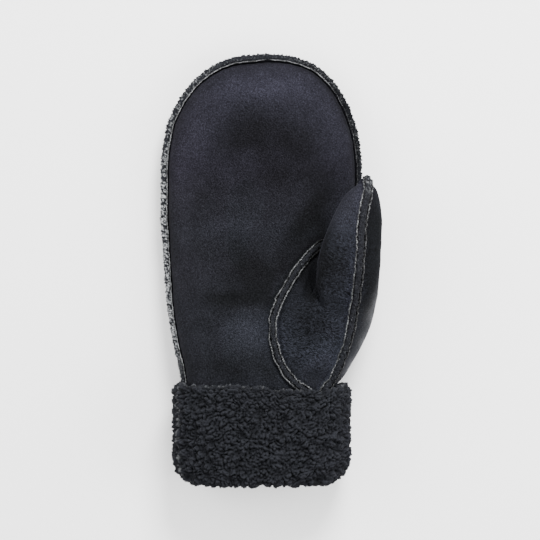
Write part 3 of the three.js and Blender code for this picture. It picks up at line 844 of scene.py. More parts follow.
def seam_line(points, outward=None):
    """A seam's line on the body in millimetres: points, ways outward and sideways, and distance along."""
    hits = [surface_tree().find_nearest(Vector(p)) for p in placed(through(points, SEAM_STEP))]
    at = averaged(unplaced([hit[0] for hit in hits]), 2)
    along = unit(np.gradient(at, axis=0))
    out = outward(at, along) if outward else averaged(np.array([hit[1] for hit in hits]), 5)
    out = unit(out - np.sum(out * along, axis=1, keepdims=True) * along)
    return {
        "at": at, "out": out, "side": np.cross(along, out), "length": run_length(at),
        "flare": np.zeros_like(at), "swell": np.zeros(len(at)),
    }


def edge_outward(points, along):
    """Outwards from the hand's edge and tilted up towards the palm."""
    flat = unit(np.cross(along, (0, 0, 1)))
    middle = points[:, :2].mean(axis=0)
    flip = np.sign(np.sum(flat[:, :2] * (points[:, :2] - middle), axis=1))
    flat = averaged(flat * flip[:, None], 4)
    return unit(flat) * math.cos(EDGE_TILT) + np.array((0, 0, math.sin(EDGE_TILT)))


def cuff_sag(x):
    """How far the cuff's top edge hangs down at a place across."""
    return CUFF_SAG["depth"] * bell(x - CUFF_SAG["x"], CUFF_SAG["reach"])


def proud_at(at):
    """How far the lips stand out, as a share: none inside the cuff."""
    top = CUFF_TOP_Y - cuff_sag(at[:, 0])
    return fade(at[:, 1], top - 4, top - 0.5)


def edge_seam():
    """The outside seam: up the left side, round the fingertips and down to the thumb."""

    def side(name, *ends):
        return [(column(HAND_TABLE, name, y), y, column(HAND_TABLE, "seam", y)) for y in spread(ends, 12)]

    a, b = column(HAND_TABLE, "left", SIDE_Y), column(HAND_TABLE, "right", SIDE_Y)
    turn = math.pi * (1 - np.linspace(0, 1, 61))
    tip_y = SIDE_Y + (TIP_Y - SIDE_Y) * np.sin(turn) ** (2 / TIP_POWER)
    tip_x = (a + b) / 2 + (b - a) / 2 * signed_power(np.cos(turn), 2 / TIP_POWER) + tip_lean(tip_y)
    tip_y = tip_y + bell(tip_x + 2, 4)
    tip = [(x, y, column(HAND_TABLE, "seam", y)) for x, y in zip(tip_x, tip_y)]
    line = seam_line([*side("left", HAND_START, 50), *tip, *side("right", 50, -20)], edge_outward)
    line["proud"] = proud_at(line["at"])
    x, y, _ = line["at"].T
    share = (0.25 + 0.75 * fade(y, -50, 20)) * np.where(x > 0, 0.75 - 0.45 * fade(y, 92, 62), 1)
    flare = averaged((EDGE_FLARE * line["proud"] * share)[:, None], 12)
    line["flare"] = unit(line["out"] * (1, 1, 0)) * flare
    return line


def thumb_seam():
    """The seam up the thumb's outer side, round its tip and down its underside to the crotch."""

    def on_thumb(y, degrees):
        return thumb_points([y], [math.radians(degrees)])[0, 0]

    over = [tuple(dropped(x, y)) for x, y in THUMB_SEAM]
    start = (over[0][0], WRIST_Y - 3, over[0][2])
    round_tip = [on_thumb(y, THUMB_TOP_ANGLE) for y in THUMB_ROUND]
    tip_x, tip_z = thumb_shape(THUMB_TIP_Y)[:2]
    back_round = [on_thumb(y, THUMB_TOP_ANGLE + 180) for y in reversed(THUMB_ROUND)]
    under = [on_thumb(y, degrees) for y, degrees in THUMB_UNDER]
    line = seam_line([start, *over, *round_tip, (tip_x, THUMB_TIP_Y, tip_z), *back_round, *under, CROTCH])
    past_tip = line["length"] - line["length"][np.argmax(line["at"][:, 1])]
    proud = proud_at(line["at"]) * np.where(past_tip > 4, 0.55, 1)
    line["proud"] = averaged(proud[:, None], 4)[:, 0]
    line["swell"] = 1.1 * bell(past_tip, 5)
    return line


def base_seam():
    """The seam that sets the thumb's teardrop into the palm."""
    over = [tuple(dropped(x, y, below_thumb(x, y))) for x, y in BASE_SEAM]
    meeting = (column(HAND_TABLE, "right", MEETING_Y), MEETING_Y, column(HAND_TABLE, "seam", MEETING_Y))
    line = seam_line([*over, meeting])
    line["proud"] = proud_at(line["at"]) * (1 - 0.6 * fade(line["at"][:, 0], 34, 42))
    return line


@functools.cache
def seam_lines():
    return {"edge": edge_seam(), "thumb": thumb_seam(), "base": base_seam()}


@functools.cache
def nearest_seam():
    """A lookup from a point to the nearest seam sample: its name, index, side and distance past its half."""
    entries = [(name, i) for name, line in seam_lines().items() for i in range(len(line["at"]))]
    tree = tree_of([seam_lines()[name]["at"][i] for name, i in entries])

    def lookup(p):
        at, k, distance = tree.find(p)
        name, i = entries[k]
        side = 0 if (p - np.array(at)) @ seam_lines()[name]["side"][i] > 0 else 1
        return name, i, side, distance - SEAM_HALF[name][side]

    return lookup


def points_and_normals(obj):
    return np.hstack((pattern_points(obj), normals(obj)))


@functools.cache
def panels():
    """The suede cut along its seams into palm, back and thumb panels, with valleys at the seams."""
    mesh = body().data
    mesh.calc_loop_triangles()
    triangles = np.empty(len(mesh.loop_triangles) * 3, int)
    mesh.loop_triangles.foreach_get("vertices", triangles)
    skin = points_and_normals(body())
    lookup = nearest_seam()
    level = np.array([lookup(p)[3] for p in skin[:, :3]])
    skin, faces, rim = kept_part(skin, triangles.reshape(-1, 3).tolist(), level)
    skin, faces, _ = kept_part(skin, faces, skin[:, 1] - WRIST_Y)
    skin = pulled_in(skin, lookup)
    return {name: (skin, part, rim) for name, part in named_parts(skin, faces).items()}


def kept_part(skin, faces, level):
    """The part of a skin whose level isn't negative, and the points on its cut."""
    skin = skin.copy()
    level = level.copy()
    edges = {(min(a, b), max(a, b)) for face in faces for a, b in zip(face, face[1:] + face[:1])}
    crossing = [(a, b) for a, b in edges if level[a] * level[b] < 0]
    close = {}
    for a, b in crossing:
        share = level[a] / (level[a] - level[b])
        near, far, share = (a, b, share) if share < 0.5 else (b, a, 1 - share)
        if share < close.get(near, (0.2, 0))[0]:
            close[near] = (share, far)
    start = skin.copy()
    for near, (share, far) in close.items():
        skin[near] = start[near] * (1 - share) + start[far] * share
        level[near] = 0
    fresh = {}
    extra = []
    for a, b in crossing:
        if level[a] * level[b] < 0:
            share = level[a] / (level[a] - level[b])
            fresh[a, b] = fresh[b, a] = len(skin) + len(extra)
            extra.append(skin[a] * (1 - share) + skin[b] * share)
    kept = []
    for face in faces:
        values = level[face]
        if (values >= 0).all():
            kept.append(face)
        elif (values > 0).any():
            corners = []
            for a, b in zip(face, face[1:] + face[:1]):
                if level[a] >= 0:
                    corners.append(a)
                if (a, b) in fresh:
                    corners.append(fresh[a, b])
            kept.append(corners)
    rim = set(np.nonzero(level == 0)[0].tolist()) | set(fresh.values())
    return np.vstack((skin, *extra)) if extra else skin, kept, rim


def pulled_in(skin, lookup):
    """Sinks the suede into a valley along each seam, with slight puckers across it."""
    skin = skin.copy()
    for k, p in enumerate(skin[:, :3]):
        name, i, _, beyond = lookup(p)
        if beyond > SEAM_REACH:
            continue
        along = seam_lines()[name]["length"][i]
        pucker = PUCKER_HEIGHT * math.sin(along * 0.95 + 2 * math.sin(along * 0.11))
        pucker *= math.exp(-beyond / 5) * (1 - math.exp(-beyond / 1.2))
        sunk = VALLEY_DEPTH[name] * math.exp(-((beyond / VALLEY_WIDTH) ** 2))
        skin[k, :3] += skin[k, 3:] * (pucker - sunk) * seam_lines()[name]["proud"][i]
    return skin


def named_parts(skin, faces):
    """The faces of the palm, back and thumb panels; crumbs are dropped."""
    around = {}
    for k, face in enumerate(faces):
        for v in face:
            around.setdefault(v, []).append(k)
    left = set(range(len(faces)))
    groups = []
    while left:
        stack = [left.pop()]
        group = list(stack)
        while stack:
            for v in faces[stack.pop()]:
                for k in around[v]:
                    if k in left:
                        left.discard(k)
                        stack.append(k)
                        group.append(k)
        groups.append([faces[k] for k in group])
    groups = sorted(groups, key=len, reverse=True)[:3]
    back = min(groups, key=lambda g: min(skin[v, 2] for f in g for v in f))
    palm = max((g for g in groups if g is not back), key=lambda g: max(skin[v, 1] for f in g for v in f))
    thumb = next(g for g in groups if g is not back and g is not palm)
    return {"palm": palm, "back": back, "thumb": thumb}


def upper_right(x, y):
    """1 where the palm's lip leans out over a narrow strip, at the upper right, and 0 elsewhere."""
    return fade(x, 22, 36) * fade(y, 30, 50) * fade(y, 122, 108)


def open_sides(faces):
    """The sides that only one face has."""
    sides = {(a, b) for face in faces for a, b in zip(face, face[1:] + face[:1])}
    return [(a, b) for a, b in sides if (b, a) not in sides]


def compacted(faces):
    """The points that faces use, their new numbers, and the faces with those numbers."""
    used = sorted({v for face in faces for v in face})
    fresh = {v: k for k, v in enumerate(used)}
    return used, fresh, [tuple(fresh[v] for v in face) for face in faces]


def lip_sway(panel, seam, along, away, x, y):
    """How far a lip's top sways inwards; the palm's leans out at the fingertips and the upper right."""
    sway = 0.45 * noise.noise((along * 0.16, away * 7, 9)) + 0.35 * noise.noise((along * 0.62, away * 4, 2))
    if seam != "edge":
        return 1.8 * sway
    if panel == "palm":
        sway -= 0.8 * upper_right(x, y)
        if y > 110:
            sway -= 1.1 * bell(x + 1.5, 3)
    return sway


def with_lips(name):
    """One panel's points and faces with its seam edges turned outwards into ragged lips."""
    skin, faces, rim = panels()[name]
    sides = [(a, b) for a, b in open_sides(faces) if a in rim and b in rim]
    used, fresh, faces = compacted(faces)
    points = [skin[v, :3] for v in used]
    below = {v: fresh[v] for side in sides for v in side}
    facts = {}
    for v in below:
        seam, i, other, _ = nearest_seam()(skin[v, :3])
        line = seam_lines()[seam]
        away = 1 - 2 * other
        s = line["length"][i]
        ragged = 1 + 0.2 * noise.noise((s * 0.9, away * 3, 0)) + 0.13 * noise.noise((s * 0.23, away, 5))
        lip = sizes().lip_height / MM * LIP_SHARE[seam][other] * line["proud"][i] * ragged + LIP_LEAST
        sway = lip_sway(name, seam, s, away, *skin[v, :2])
        flare = line["flare"][i] * other
        facts[v] = (line["out"][i], line["side"][i] * away, flare, line["proud"][i], lip, sway)
    for share in LIP_RINGS:
        above = {}
        for v, (out, side, flare, proud, lip, sway) in facts.items():
            above[v] = len(points)
            lean = (LIP_LEAN * share + sway * share * share) * proud
            points.append(skin[v, :3] + out * share * lip + side * lean + flare * share)
        faces += [(below[b], below[a], above[a], above[b]) for a, b in sides]
        below = above
    return np.array(points), faces


# How far the painted sheen reaches from the thumb's outer ridge, above it and below it
PAINTED_SHEEN_REACH = {"top": 3.5, "bottom": 8.5, "under": 2.6}


def painted_sheen_amount(points):
    """How strong the painted sheen is: a pale glow along the lower outer side of the thumb, where the nap
    would catch grazing light.
    """
    rings = thumb_points(np.linspace(-72, 20, 24), turns(120))
    ridge = np.array([ring[ring[:, 0].argmax()] for ring in rings])
    distances = np.linalg.norm(points[:, None, :] - ridge[None, :, :], axis=2)
    y = points[:, 1]
    reach = PAINTED_SHEEN_REACH["top"] + (PAINTED_SHEEN_REACH["bottom"] - PAINTED_SHEEN_REACH["top"]) * fade(y, 0, -30)
    reach = np.where(points[:, 2] < ridge[distances.argmin(axis=1), 2], PAINTED_SHEEN_REACH["under"], reach)
    patchy = 1.0 + 0.5 * ripple(points, 7.0, 31)
    return np.clip(bell(distances.min(axis=1), reach) * fade(y, 14, -30) * fade(y, -72, -58) * patchy, 0, 1)


# Patches on the palm side, partly nap tone and partly painted light and shade of its folds and of the thumb's
# shadow: x, y, reach across and along, turn, and share of light, which is negative where the patch is dark
NAP_AND_PAINTED_LIGHT = (
    (-3, 121, 52, 14, 0, 1.05),
    (-48, 90, 17, 36, -12, 0.4),
    (-58, 38, 9, 40, 0, 0.3),
    (42, 90, 14, 26, 10, 0.5),
    (8, 84, 42, 12, -8, -0.34),
    (10, 52, 16, 16, 0, -0.22),
    (20, 62, 26, 13, 0, -0.3),
    (-28, 78, 18, 9, 20, -0.15),
    (-32, 26, 28, 7, 8, 0.28),
    (-12, 2, 7, 22, 32, -0.35),
    (-22, -17, 25, 6, -4, -0.4),
    (-14, -38, 17, 10, 0, 0.7),
    (-32, -28, 10, 9, 0, -0.15),
    (-50, -6, 13, 22, 0, 0.16),
    (-9, -4, 15, 10, 0, -0.3),
    (-26, -62, 26, 8, 0, -0.22),
    (1, -63, 6, 10, 0, -0.3),
    (47, 34, 8, 22, -12, 0.55),
    (40, -14, 13, 13, 0, 0.3),
    (26, 36, 8, 24, -28, -0.48),
    (26.6, 1, 4.5, 15, -4, -0.9),
    (22, 4, 6, 9, 0, -0.5),
    (31, 8, 3.5, 20, -8, -0.4),
    (64, 14, 7, 46, 0, -0.6),
    (38, 4, 9, 19, 0, -0.4),
    (22, -33, 13, 11, 0, -0.25),
    (32, -53, 14, 8, 0, 0.45),
    (44, -28, 6, 20, -14, 0.3),
    (8, -44, 5, 14, 0, 0.25),
)


def nap_and_painted_light_share(points):
    """How light the suede is: nap tone wandering all over, with the palm side's patches of nap and of painted
    light and shade.
    """
    x, y, z = points.T
    upper = fade(z, 20, 30)
    share = 0.4 + 0.22 * ripple(points, 34, 21) + 0.16 * ripple(points, 11, 22)
    for cx, cy, reach_x, reach_y, turn, amount in NAP_AND_PAINTED_LIGHT:
        c, s = math.cos(math.radians(turn)), math.sin(math.radians(turn))
        u = ((x - cx) * c + (y - cy) * s) / reach_x
        v = ((y - cy) * c - (x - cx) * s) / reach_y
        share = share + amount * upper * np.exp(-(u * u + v * v))
    return np.clip(share / 1.5, 0, 1)


def edge_brightness(name, points, seams):
    """How bright a panel's cut edges are: painted shade where they run under the thumb, dull by the thumb and
    upper right, brightest on the left.
    """
    x, y, z = points.T
    own = np.array([EDGE_LIGHT.get((name, seam), OTHER_EDGE_LIGHT) for seam in seams])
    if name == "back":
        own = np.where(seams == "thumb", own * (0.7 + 0.8 * fade(y, 30, 44)), own)
    # Painted shade where the cut edges run under the overhanging thumb near the crotch
    shade_under_thumb_from = 20.5 if name == "thumb" else 25.5
    shade_under_thumb = fade(x, shade_under_thumb_from, shade_under_thumb_from + 4) * fade(y, 3, 7) * (y < 30) * fade(z, 46, 43)
    dull = (0.1 if name == "palm" else 0.5) * fade(x, 14, 26) * fade(y, 66, 74)
    return (1 - 0.9 * shade_under_thumb) * (1 - dull) * (own + 0.3 * fade(x, -20, -50))


def suede_panel(name, node):
    """One panel with lips: suede outside, wool behind it and a light cut edge."""
    points, faces = with_lips(name)
    piece = new_object(f"{node}_suede", placed(points), faces)
    seams, _, _, beyond = (np.array(values) for values in zip(*map(nearest_seam(), points)))
    # Painted light along the thumb seam on the thumb panel, where the lip's shade would fall
    painted_light_by_thumb_seam = bell(beyond, 2.6) * (seams == "thumb") * (name == "thumb")
    # Painted shade in the groove beside the edge seam on the palm, wider at the upper right
    wide = GROOVE_SHADE["width"] + GROOVE_SHADE["more"] * fade(points[:, 0], 10, 30) * fade(points[:, 1], 40, 70)
    painted_groove_shade = np.exp(-((beyond / wide) ** 4)) * (seams == "edge") * (name == "palm")
    # Painted sheen, nap tone with painted light and shade, and the groove's painted shade
    set_attribute(piece, "sheen_painted", painted_sheen_amount(points))
    set_attribute(piece, "nap_and_painted_light", nap_and_painted_light_share(points) + 0.5 * painted_light_by_thumb_seam)
    set_attribute(piece, "valley", painted_groove_shade)
    set_attribute(piece, "edge_light", edge_brightness(name, points, seams))
    for material in (suede_material(), wool_material("wool_back", 0.0), cut_edge_material()):
        piece.data.materials.append(material)
    modified(
        piece, "SOLIDIFY", thickness=sizes().suede_thickness, offset=-1.0, use_even_offset=False,
        material_offset=1, material_offset_rim=2,
    )
    finish_piece(piece, "suede", node)


def finish_piece(piece, slot_name, *nodes):
    """Smooths a piece's shading and ties it to the frame."""
    only(piece)
    bpy.ops.object.shade_smooth()
    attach(piece, "root")
    if nodes:
        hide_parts(*nodes)
    piece.select_set(False)


def pile_strip(line_name, node, light_share):
    """The raw wool between two lips: a nubby strip along the seam."""
    name = f"{line_name}_seam_pile"
    line = seam_lines()[line_name]
    palm_half, back_half = (half - sizes().suede_thickness / MM - 0.05 for half in SEAM_HALF[line_name])
    palm_lip, back_lip = LIP_SHARE[line_name]
    crown = sizes().lip_height / MM + 0.1
    top = (0.3 + (crown - 0.3) * line["proud"] + line["swell"])[:, None]
    narrow = (line_name == "edge") * upper_right(*line["at"].T[:2])[:, None]
    rings = []
    for across, rise in PILE_PROFILE:
        aside = (1 - narrow) * across * (palm_half if across > 0 else back_half)
        aside = aside + narrow * ((1 + across) / 2 * (back_half + palm_half - STRIP_NARROWING) - back_half)
        lip = (palm_lip + back_lip) / 2 + (palm_lip - back_lip) / 2 * across
        height = STRIP_FOOT + (top * (0.15 + 0.85 * lip) - STRIP_FOOT) * rise - narrow * max(across, 0) * rise
        flare = line["flare"] * (1 - across) / 2 * rise
        rings.append(line["at"] + line["side"] * aside + line["out"] * height + flare)
    rings = np.stack(rings, axis=1)
    rows, around = rings.shape[:2]
    flat = rings.reshape(-1, 3)
    direction = unit(flat - np.repeat(line["at"] + line["out"] * 0.4, around, axis=0))
    nubs = bumps(flat, 1.5, 3) * 0.8 + bumps(flat, 0.8, 4) * 0.35 - 0.45
    upper = np.tile([fade(rise, 0.3, 0.7) for _, rise in PILE_PROFILE], rows)
    rough = NUB_HEIGHT * nubs * np.repeat(line["proud"], around) * upper
    piece = tube_object(name, (flat + direction * rough[:, None]).reshape(rows, around, 3))
    crest, cut = strip_marks(line_name, flat)
    # Painted shade between the nubs, times the strip's lightness
    set_attribute(piece, "crest", (0.5 + 0.7 * nubs) * crest)
    set_attribute(piece, "cut", cut)
    piece.data.materials.append(wool_material(f"{name}_wool", light_share))
    finish_piece(piece, "seam_pile", node)


def strip_marks(line_name, flat):
    """How light a strip's wool is, with painted shade where the base seam runs under the thumb, and where
    light flecks show: most on the left, few at the upper right.
    """
    x, y, _ = flat.T
    top_right = (line_name == "edge") * fade(x, 5, 25) * fade(y, 60, 85)
    # Painted shade where the base seam's wool runs under the thumb
    strip_shade_under_thumb = (line_name == "base") * fade(x, 23, 29) * fade(y, 3, 7)
    left_side = fade(x, -28, -48) * fade(y, -70, -30) * (1 - 0.6 * fade(y, 50, 90))
    thumb_tip = (line_name == "thumb") * fade(y, 44, 58) * 0.28
    sparse = 0.12 + 0.16 * fade(y, 55, 90)
    flecks = fade(ripple(flat, 0.62, 12) + 0.3 * ripple(flat, 2.0, 13), sparse, sparse + 0.1)
    crest = (1 - 0.66 * top_right) * (1 - 0.9 * strip_shade_under_thumb)
    return crest, flecks * np.maximum(np.maximum(left_side, thumb_tip), 0.15 * top_right)


def wrist_ring(profile, angles):
    """Rings round the wrist through a profile of offsets and places."""
    sag = cuff_sag(hand_points([WRIST_Y], angles)[0][:, 0]) * np.clip(np.sin(angles), 0, 1)
    rings = []
    for off, y in profile:
        ring = hand_points([WRIST_Y], angles, grow=off)[0]
        ring[:, 1] = y - sag * np.clip(1 - (CUFF_TOP_Y - y) / CUFF_SAG["fade"], 0, 1)
        t = np.clip((CUFF_ROUND["from"] - y) / CUFF_ROUND["over"], 0, 0.98)
        narrow = 1 - CUFF_ROUND["share"] * (1 - math.sqrt(1 - t * t))
        ring[:, 0] = CUFF_ROUND["middle"] + (ring[:, 0] - CUFF_ROUND["middle"]) * narrow
        rings.append(ring)
    return np.stack(rings)


def evened_angles(palm_count, back_count):
    """Angles round the wrist, with steps of one length over the palm side and another over the back."""
    out = []
    for start, count in ((0, palm_count), (math.pi, back_count)):
        fine = np.linspace(start, start + math.pi, 2001)
        along = run_length(hand_points([WRIST_Y], fine, grow=8.0)[0])
        out.append(np.interp(np.linspace(0, along[-1], count, endpoint=False), along, fine))
    return np.concatenate(out)


def cuff_halves():
    """The turned-up cuff in curly wool, cut along its side seams into two halves."""
    angles = evened_angles(*CUFF_COLUMNS)
    shown = through([(off, y, 0) for off, y in CUFF[1:]], CUFF_STEP)[:, :2]
    rings = wrist_ring(np.vstack((CUFF_INNER, shown)), angles)
    rows, around = rings.shape[:2]
    last = (rows - 1) * around
    closing = [(last + i, last + (i + 1) % around, (i + 1) % around, i) for i in range(around)]
    skin = new_object("cuff", placed(rings.reshape(-1, 3)), grid_faces(rows, around) + closing)
    recalculate_outside(skin)
    middle = rings[rows // 2]
    curl(skin, run_length(np.vstack((middle, middle[:1]))), run_length(shown))
    return split_cuff(skin)


CURL_STEP = 0.45
CRIMP = 0.75  # how far each curl winds to either side of its way, in radians
CRIMP_LENGTH = 4.0
CURL_STEPS = (6, 26)
CURL_REACH = 0.82  # half a curl's width, as a share of the curls' spacing
CLUMP_SIZE = 4.4
FADING_RINGS = 4  # the curls fade out over the last rings, inside the mouth
# Light cut edges in the cuff's wool: how far down its top line lies, and how wide and light each line is
TOP_LINE = {"down": 8.8, "width": 0.5, "light": 0.1}
SIDE_LINE = {"width": 0.8, "light": 0.3}


def curl_lines(width, length, spacing, rng):
    """Short winding lines that fill a sheet without crossing: samples of (u, v, line)."""
    cells, samples = {}, []

    def free(u, v, line):
        at_u, at_v = int(u / spacing), int(v / spacing)
        return all(
            other == line or (a - u) ** 2 + (b - v) ** 2 >= spacing**2
            for i in (at_u - 1, at_u, at_u + 1)
            for j in (at_v - 1, at_v, at_v + 1)
            for a, b, other in cells.get((i, j), ())
        )

    for line in range(int(width * length / spacing**2 * 4)):
        u, v = rng.uniform(0, width), rng.uniform(0, length)
        drift = rng.normal(0, 0.22)
        for k in range(rng.integers(*CURL_STEPS)):
            if not (0 <= u < width and 0 <= v <= length and free(u, v, line)):
                break
            cells.setdefault((int(u / spacing), int(v / spacing)), []).append((u, v, line))
            samples.append((u, v, line))
            drift += rng.normal(0, 0.06)
            flow = 2.6 * noise.noise((u / 13, v / 13, 3)) + 0.3
            swing = 7 * noise.noise((u / 6, v / 6, 8)) + k * CURL_STEP * 2 * math.pi / CRIMP_LENGTH
            heading = flow + drift + CRIMP * math.sin(swing)
            u, v = u + CURL_STEP * math.cos(heading), v + CURL_STEP * math.sin(heading)
    return samples


def curl(skin, across, along):
    """Raises the wool in short winding curls with clefts between them, marks painted shade in the clefts, and
    marks its cut edges.
    """
    rng = np.random.default_rng(5)
    spacing = sizes().curl_size / MM
    samples = curl_lines(across[-1], along[-1], spacing, rng)
    lift = rng.uniform(0.5, 1.2, samples[-1][2] + 1)
    tree = tree_of([(u, v, 0) for u, v, _ in samples])
    co, direction = pattern_points(skin), normals(skin)
    around = len(across) - 1
    inner = len(CUFF_INNER) * around
    crest = np.zeros(len(co))
    for k in range(inner, len(co)):
        _, nearest, off = tree.find((across[k % around], along[(k - inner) // around], 0))
        crest[k] = max(0.0, 1 - (off / (CURL_REACH * spacing)) ** 2) ** 0.7 * lift[samples[nearest][2]]
    crest = np.clip(crest * (1 + 0.35 * ripple(co, 1.1, 5)), 0, 1.3)
    warped = co * (0.75, 1.1, 0.75) + wander(co, 4.5, 14) * 2.4
    clumps = bumps(warped, CLUMP_SIZE, 6) ** 0.7
    cleft = clefts(warped, CLUMP_SIZE, 6, 0.22) * fade(ripple(co, 7.0, 17), -0.25, 0.25)
    rise = sizes().curl_height / MM * (crest - 0.9) + 0.6 * ripple(co, 9.0, 6)
    rise += 1.7 * (clumps - 0.6) - 0.8 * cleft
    index = np.arange(len(co))
    shown = (index >= inner) * fade(len(co) - 1 - index, 0, FADING_RINGS * around)
    floor_side = 0.35 + 0.65 * fade(co[:, 2], 0.4, 2.6)
    co = co + direction * (rise * shown * floor_side)[:, None]
    co[:, 2] = np.maximum(co[:, 2], 0.02)
    set_points(skin, co)
    # Painted shade: darker in the clefts between curls and clumps
    set_attribute(skin, "crest", crest * (0.48 + 0.68 * clumps) * (1 - 0.36 * cleft))
    set_attribute(skin, "cut", cut_marks(co, along, inner, around))


def cut_marks(co, along, inner, around):
    """Where light cut edges show in the cuff's wool: along its top edge and its side seams."""
    down = np.full(len(co), 99.0)
    down[inner:] = np.repeat(along, around)
    top = bell(down - TOP_LINE["down"], TOP_LINE["width"]) * fade(co[:, 2], 25, 30)
    middle, lean = cuff_seam_plane()
    off = (co - middle) @ lean + 0.8 * ripple(co, 11.0, 8)
    sides = bell(off, SIDE_LINE["width"]) * (co[:, 1] > -131) * (down > 9)
    speckle = ripple(co, 2.6, 9) + 0.6 * ripple(co, 0.9, 10)
    top_light = TOP_LINE["light"] * top * fade(speckle, -0.45, -0.05)
    return np.maximum(top_light, SIDE_LINE["light"] * sides * fade(speckle, -0.2, 0.2))


def cuff_seam_plane():
    """A point on the plane through the cuff's two side seams, and the plane's upward way, in millimetres."""
    left, right, apart = CUFF_SEAM.values()
    return np.array((-5, CUFF_TOP_Y, (left + right) / 2)), unit(np.array((left - right, 0, apart)))


def cuff_outside(co):
    """1 on the wool that shows, fading to 0 on the cuff's inner face against the wrist."""
    wrist = tree_of(hand_points([WRIST_Y], evened_angles(180, 180))[0] * (1, 0, 1))
    off = np.array([wrist.find(p)[2] for p in co * (1, 0, 1)])
    return np.where(co[:, 1] < WRIST_Y - 0.4, 1, fade(off, 0.9, 2.5))


def split_cuff(skin):
    """Cuts the cuff by a plane that leans from one side seam to the other."""
    middle, lean = cuff_seam_plane()
    halves = []
    for name, keep_upper in (("cuff_palm_pile", True), ("cuff_back_pile", False)):
        half = skin.copy()
        half.data = skin.data.copy()
        half.name = name
        bpy.context.scene.collection.objects.link(half)
        bm = bmesh.new()
        bm.from_mesh(half.data)
        geometry = bm.verts[:] + bm.edges[:] + bm.faces[:]
        bmesh.ops.bisect_plane(
            bm, geom=geometry, plane_co=placed(middle), plane_no=lean,
            clear_inner=keep_upper, clear_outer=not keep_upper,
        )
        bmesh.ops.holes_fill(bm, edges=[e for e in bm.edges if e.is_boundary])
        bm.to_mesh(half.data)
        bm.free()
        halves.append(half)
    bpy.data.objects.remove(skin)
    return halves


def lining():
    """The wool inside hand and thumb, seen through the mouth."""
    piece = body().copy()
    piece.data = body().data.copy()
    bpy.context.scene.collection.objects.link(piece)
    modified(piece, "REMESH", mode="VOXEL", voxel_size=LINING_VOXEL * MM)
    skin = points_and_normals(piece)
    quads = [list(face.vertices) for face in piece.data.polygons]
    bpy.data.objects.remove(piece)
    skin, faces, _ = kept_part(skin, quads, skin[:, 1] - LINING_Y)
    used, _, faces = compacted(faces)
    inwards = -unit(skin[used, 3:])
    outer = skin[used, :3] + inwards * LINING_DEPTH
    nubs = bumps(outer + wander(outer, 5, 7) * 1.5, 3.0, 5)
    inner = outer + inwards * (LINING_THICKNESS["least"] + LINING_THICKNESS["nubs"] * nubs)[:, None]
    total = len(outer)
    walls = faces + [tuple(total + v for v in reversed(face)) for face in faces]
    walls += [(b, a, total + a, total + b) for a, b in open_sides(faces)]
    piece = new_object("wool_lining", placed(np.vstack((outer, inner))), walls)
    # Painted shade between the nubs
    set_attribute(piece, "crest", np.concatenate((nubs, nubs)))
    return piece


# Loose hairs: segments, corners and taper of each, how many there are along the seams and on each cuff
# half, and the share of light ones at the seams
STRAND_SEGMENTS = 3
THIRDS = (0.0, 2.0944, 4.1888)
STRAND_TAPER = 0.75
SEAM_HAIRS_PER_MM = 5
CUFF_HAIRS = 3600
LIGHT_HAIRS = 0.12


def strands_object(name, roots, ways, lengths, lightness, curl_turn, rng):
    """Short tapering hairs, each a bent three-sided tube."""
    radius = sizes().strand_radius / MM
    rings = STRAND_SEGMENTS + 1
    tip = 3 * STRAND_SEGMENTS
    strand = [*grid_faces(rings, 3), (2, 1, 0), (tip, tip + 1, tip + 2)]
    vertices, faces = [], []
    for root, way, length in zip(roots, ways, lengths):
        way = unit(way)
        bend = unit(np.cross(way, rng.normal(size=3)))
        side = np.cross(way, bend)
        start = len(vertices)
        turn = curl_turn * rng.uniform(0.5, 1.5)
        for k in range(rings):
            t = k / STRAND_SEGMENTS
            arc = turn * t
            gone = way * (math.sin(arc) / max(turn, 0.1)) + bend * ((1 - math.cos(arc)) / max(turn, 0.1))
            across = unit(way * -math.sin(arc) + bend * math.cos(arc))
            for angle in THIRDS:
                off = across * math.cos(angle) + side * math.sin(angle)
                vertices.append(root + length * gone + radius * (1 - STRAND_TAPER * t) * off)
        faces += [tuple(start + v for v in face) for face in strand]
    piece = new_object(name, placed(np.array(vertices)), faces)
    set_attribute(piece, "lightness", np.repeat(lightness, 3 * rings))
    recalculate_outside(piece)
    piece.data.materials.append(strand_material())
    return piece


def seam_hairs():
    """Loose hairs that stand out of the seams' wool."""
    rng = np.random.default_rng(7)
    roots, ways = [], []
    for name, line in seam_lines().items():
        for i in rng.integers(0, len(line["at"]), int(line["length"][-1] * SEAM_HAIRS_PER_MM)):
            if line["proud"][i] < 0.5:
                continue
            across = rng.uniform(-1, 1)
            other = 0 if across > 0 else 1
            half = SEAM_HALF[name][other] - 1.1
            rise = sizes().lip_height / MM * LIP_SHARE[name][other] * line["proud"][i] - 0.4
            roots.append(line["at"][i] + line["side"][i] * across * half + line["out"][i] * rise)
            ways.append(line["out"][i] + line["side"][i] * (across * 0.5) + rng.normal(size=3) * 0.55)
    count = len(roots)
    bright = rng.random(count) < LIGHT_HAIRS
    light = np.where(bright, rng.uniform(0.6, 0.9, count), rng.uniform(0, 0.5, count))
    return strands_object("seam_hairs", roots, ways, rng.uniform(0.7, 1.7, count), light, 1.5, rng)


def cuff_hairs(halves):
    """Loose curled hairs on the cuff's wool."""
    rng = np.random.default_rng(11)
    roots, ways = [], []
    for half in halves:
        co, direction = pattern_points(half), normals(half)
        shown = np.nonzero((cuff_outside(co) > 0.9) & (co[:, 2] > 3))[0]
        for i in rng.choice(shown, CUFF_HAIRS, replace=False):
            roots.append(co[i] - direction[i] * 0.15)
            ways.append(direction[i] + rng.normal(size=3) * 0.7)
    count = len(roots)
    lengths, light = rng.uniform(0.8, 1.9, count), rng.uniform(0.0, 0.6, count) ** 1.3
    return strands_object("cuff_hairs", roots, ways, lengths, light, 2.6, rng)


# Every wool and suede piece is made by one of these operators, in the order of STEPS


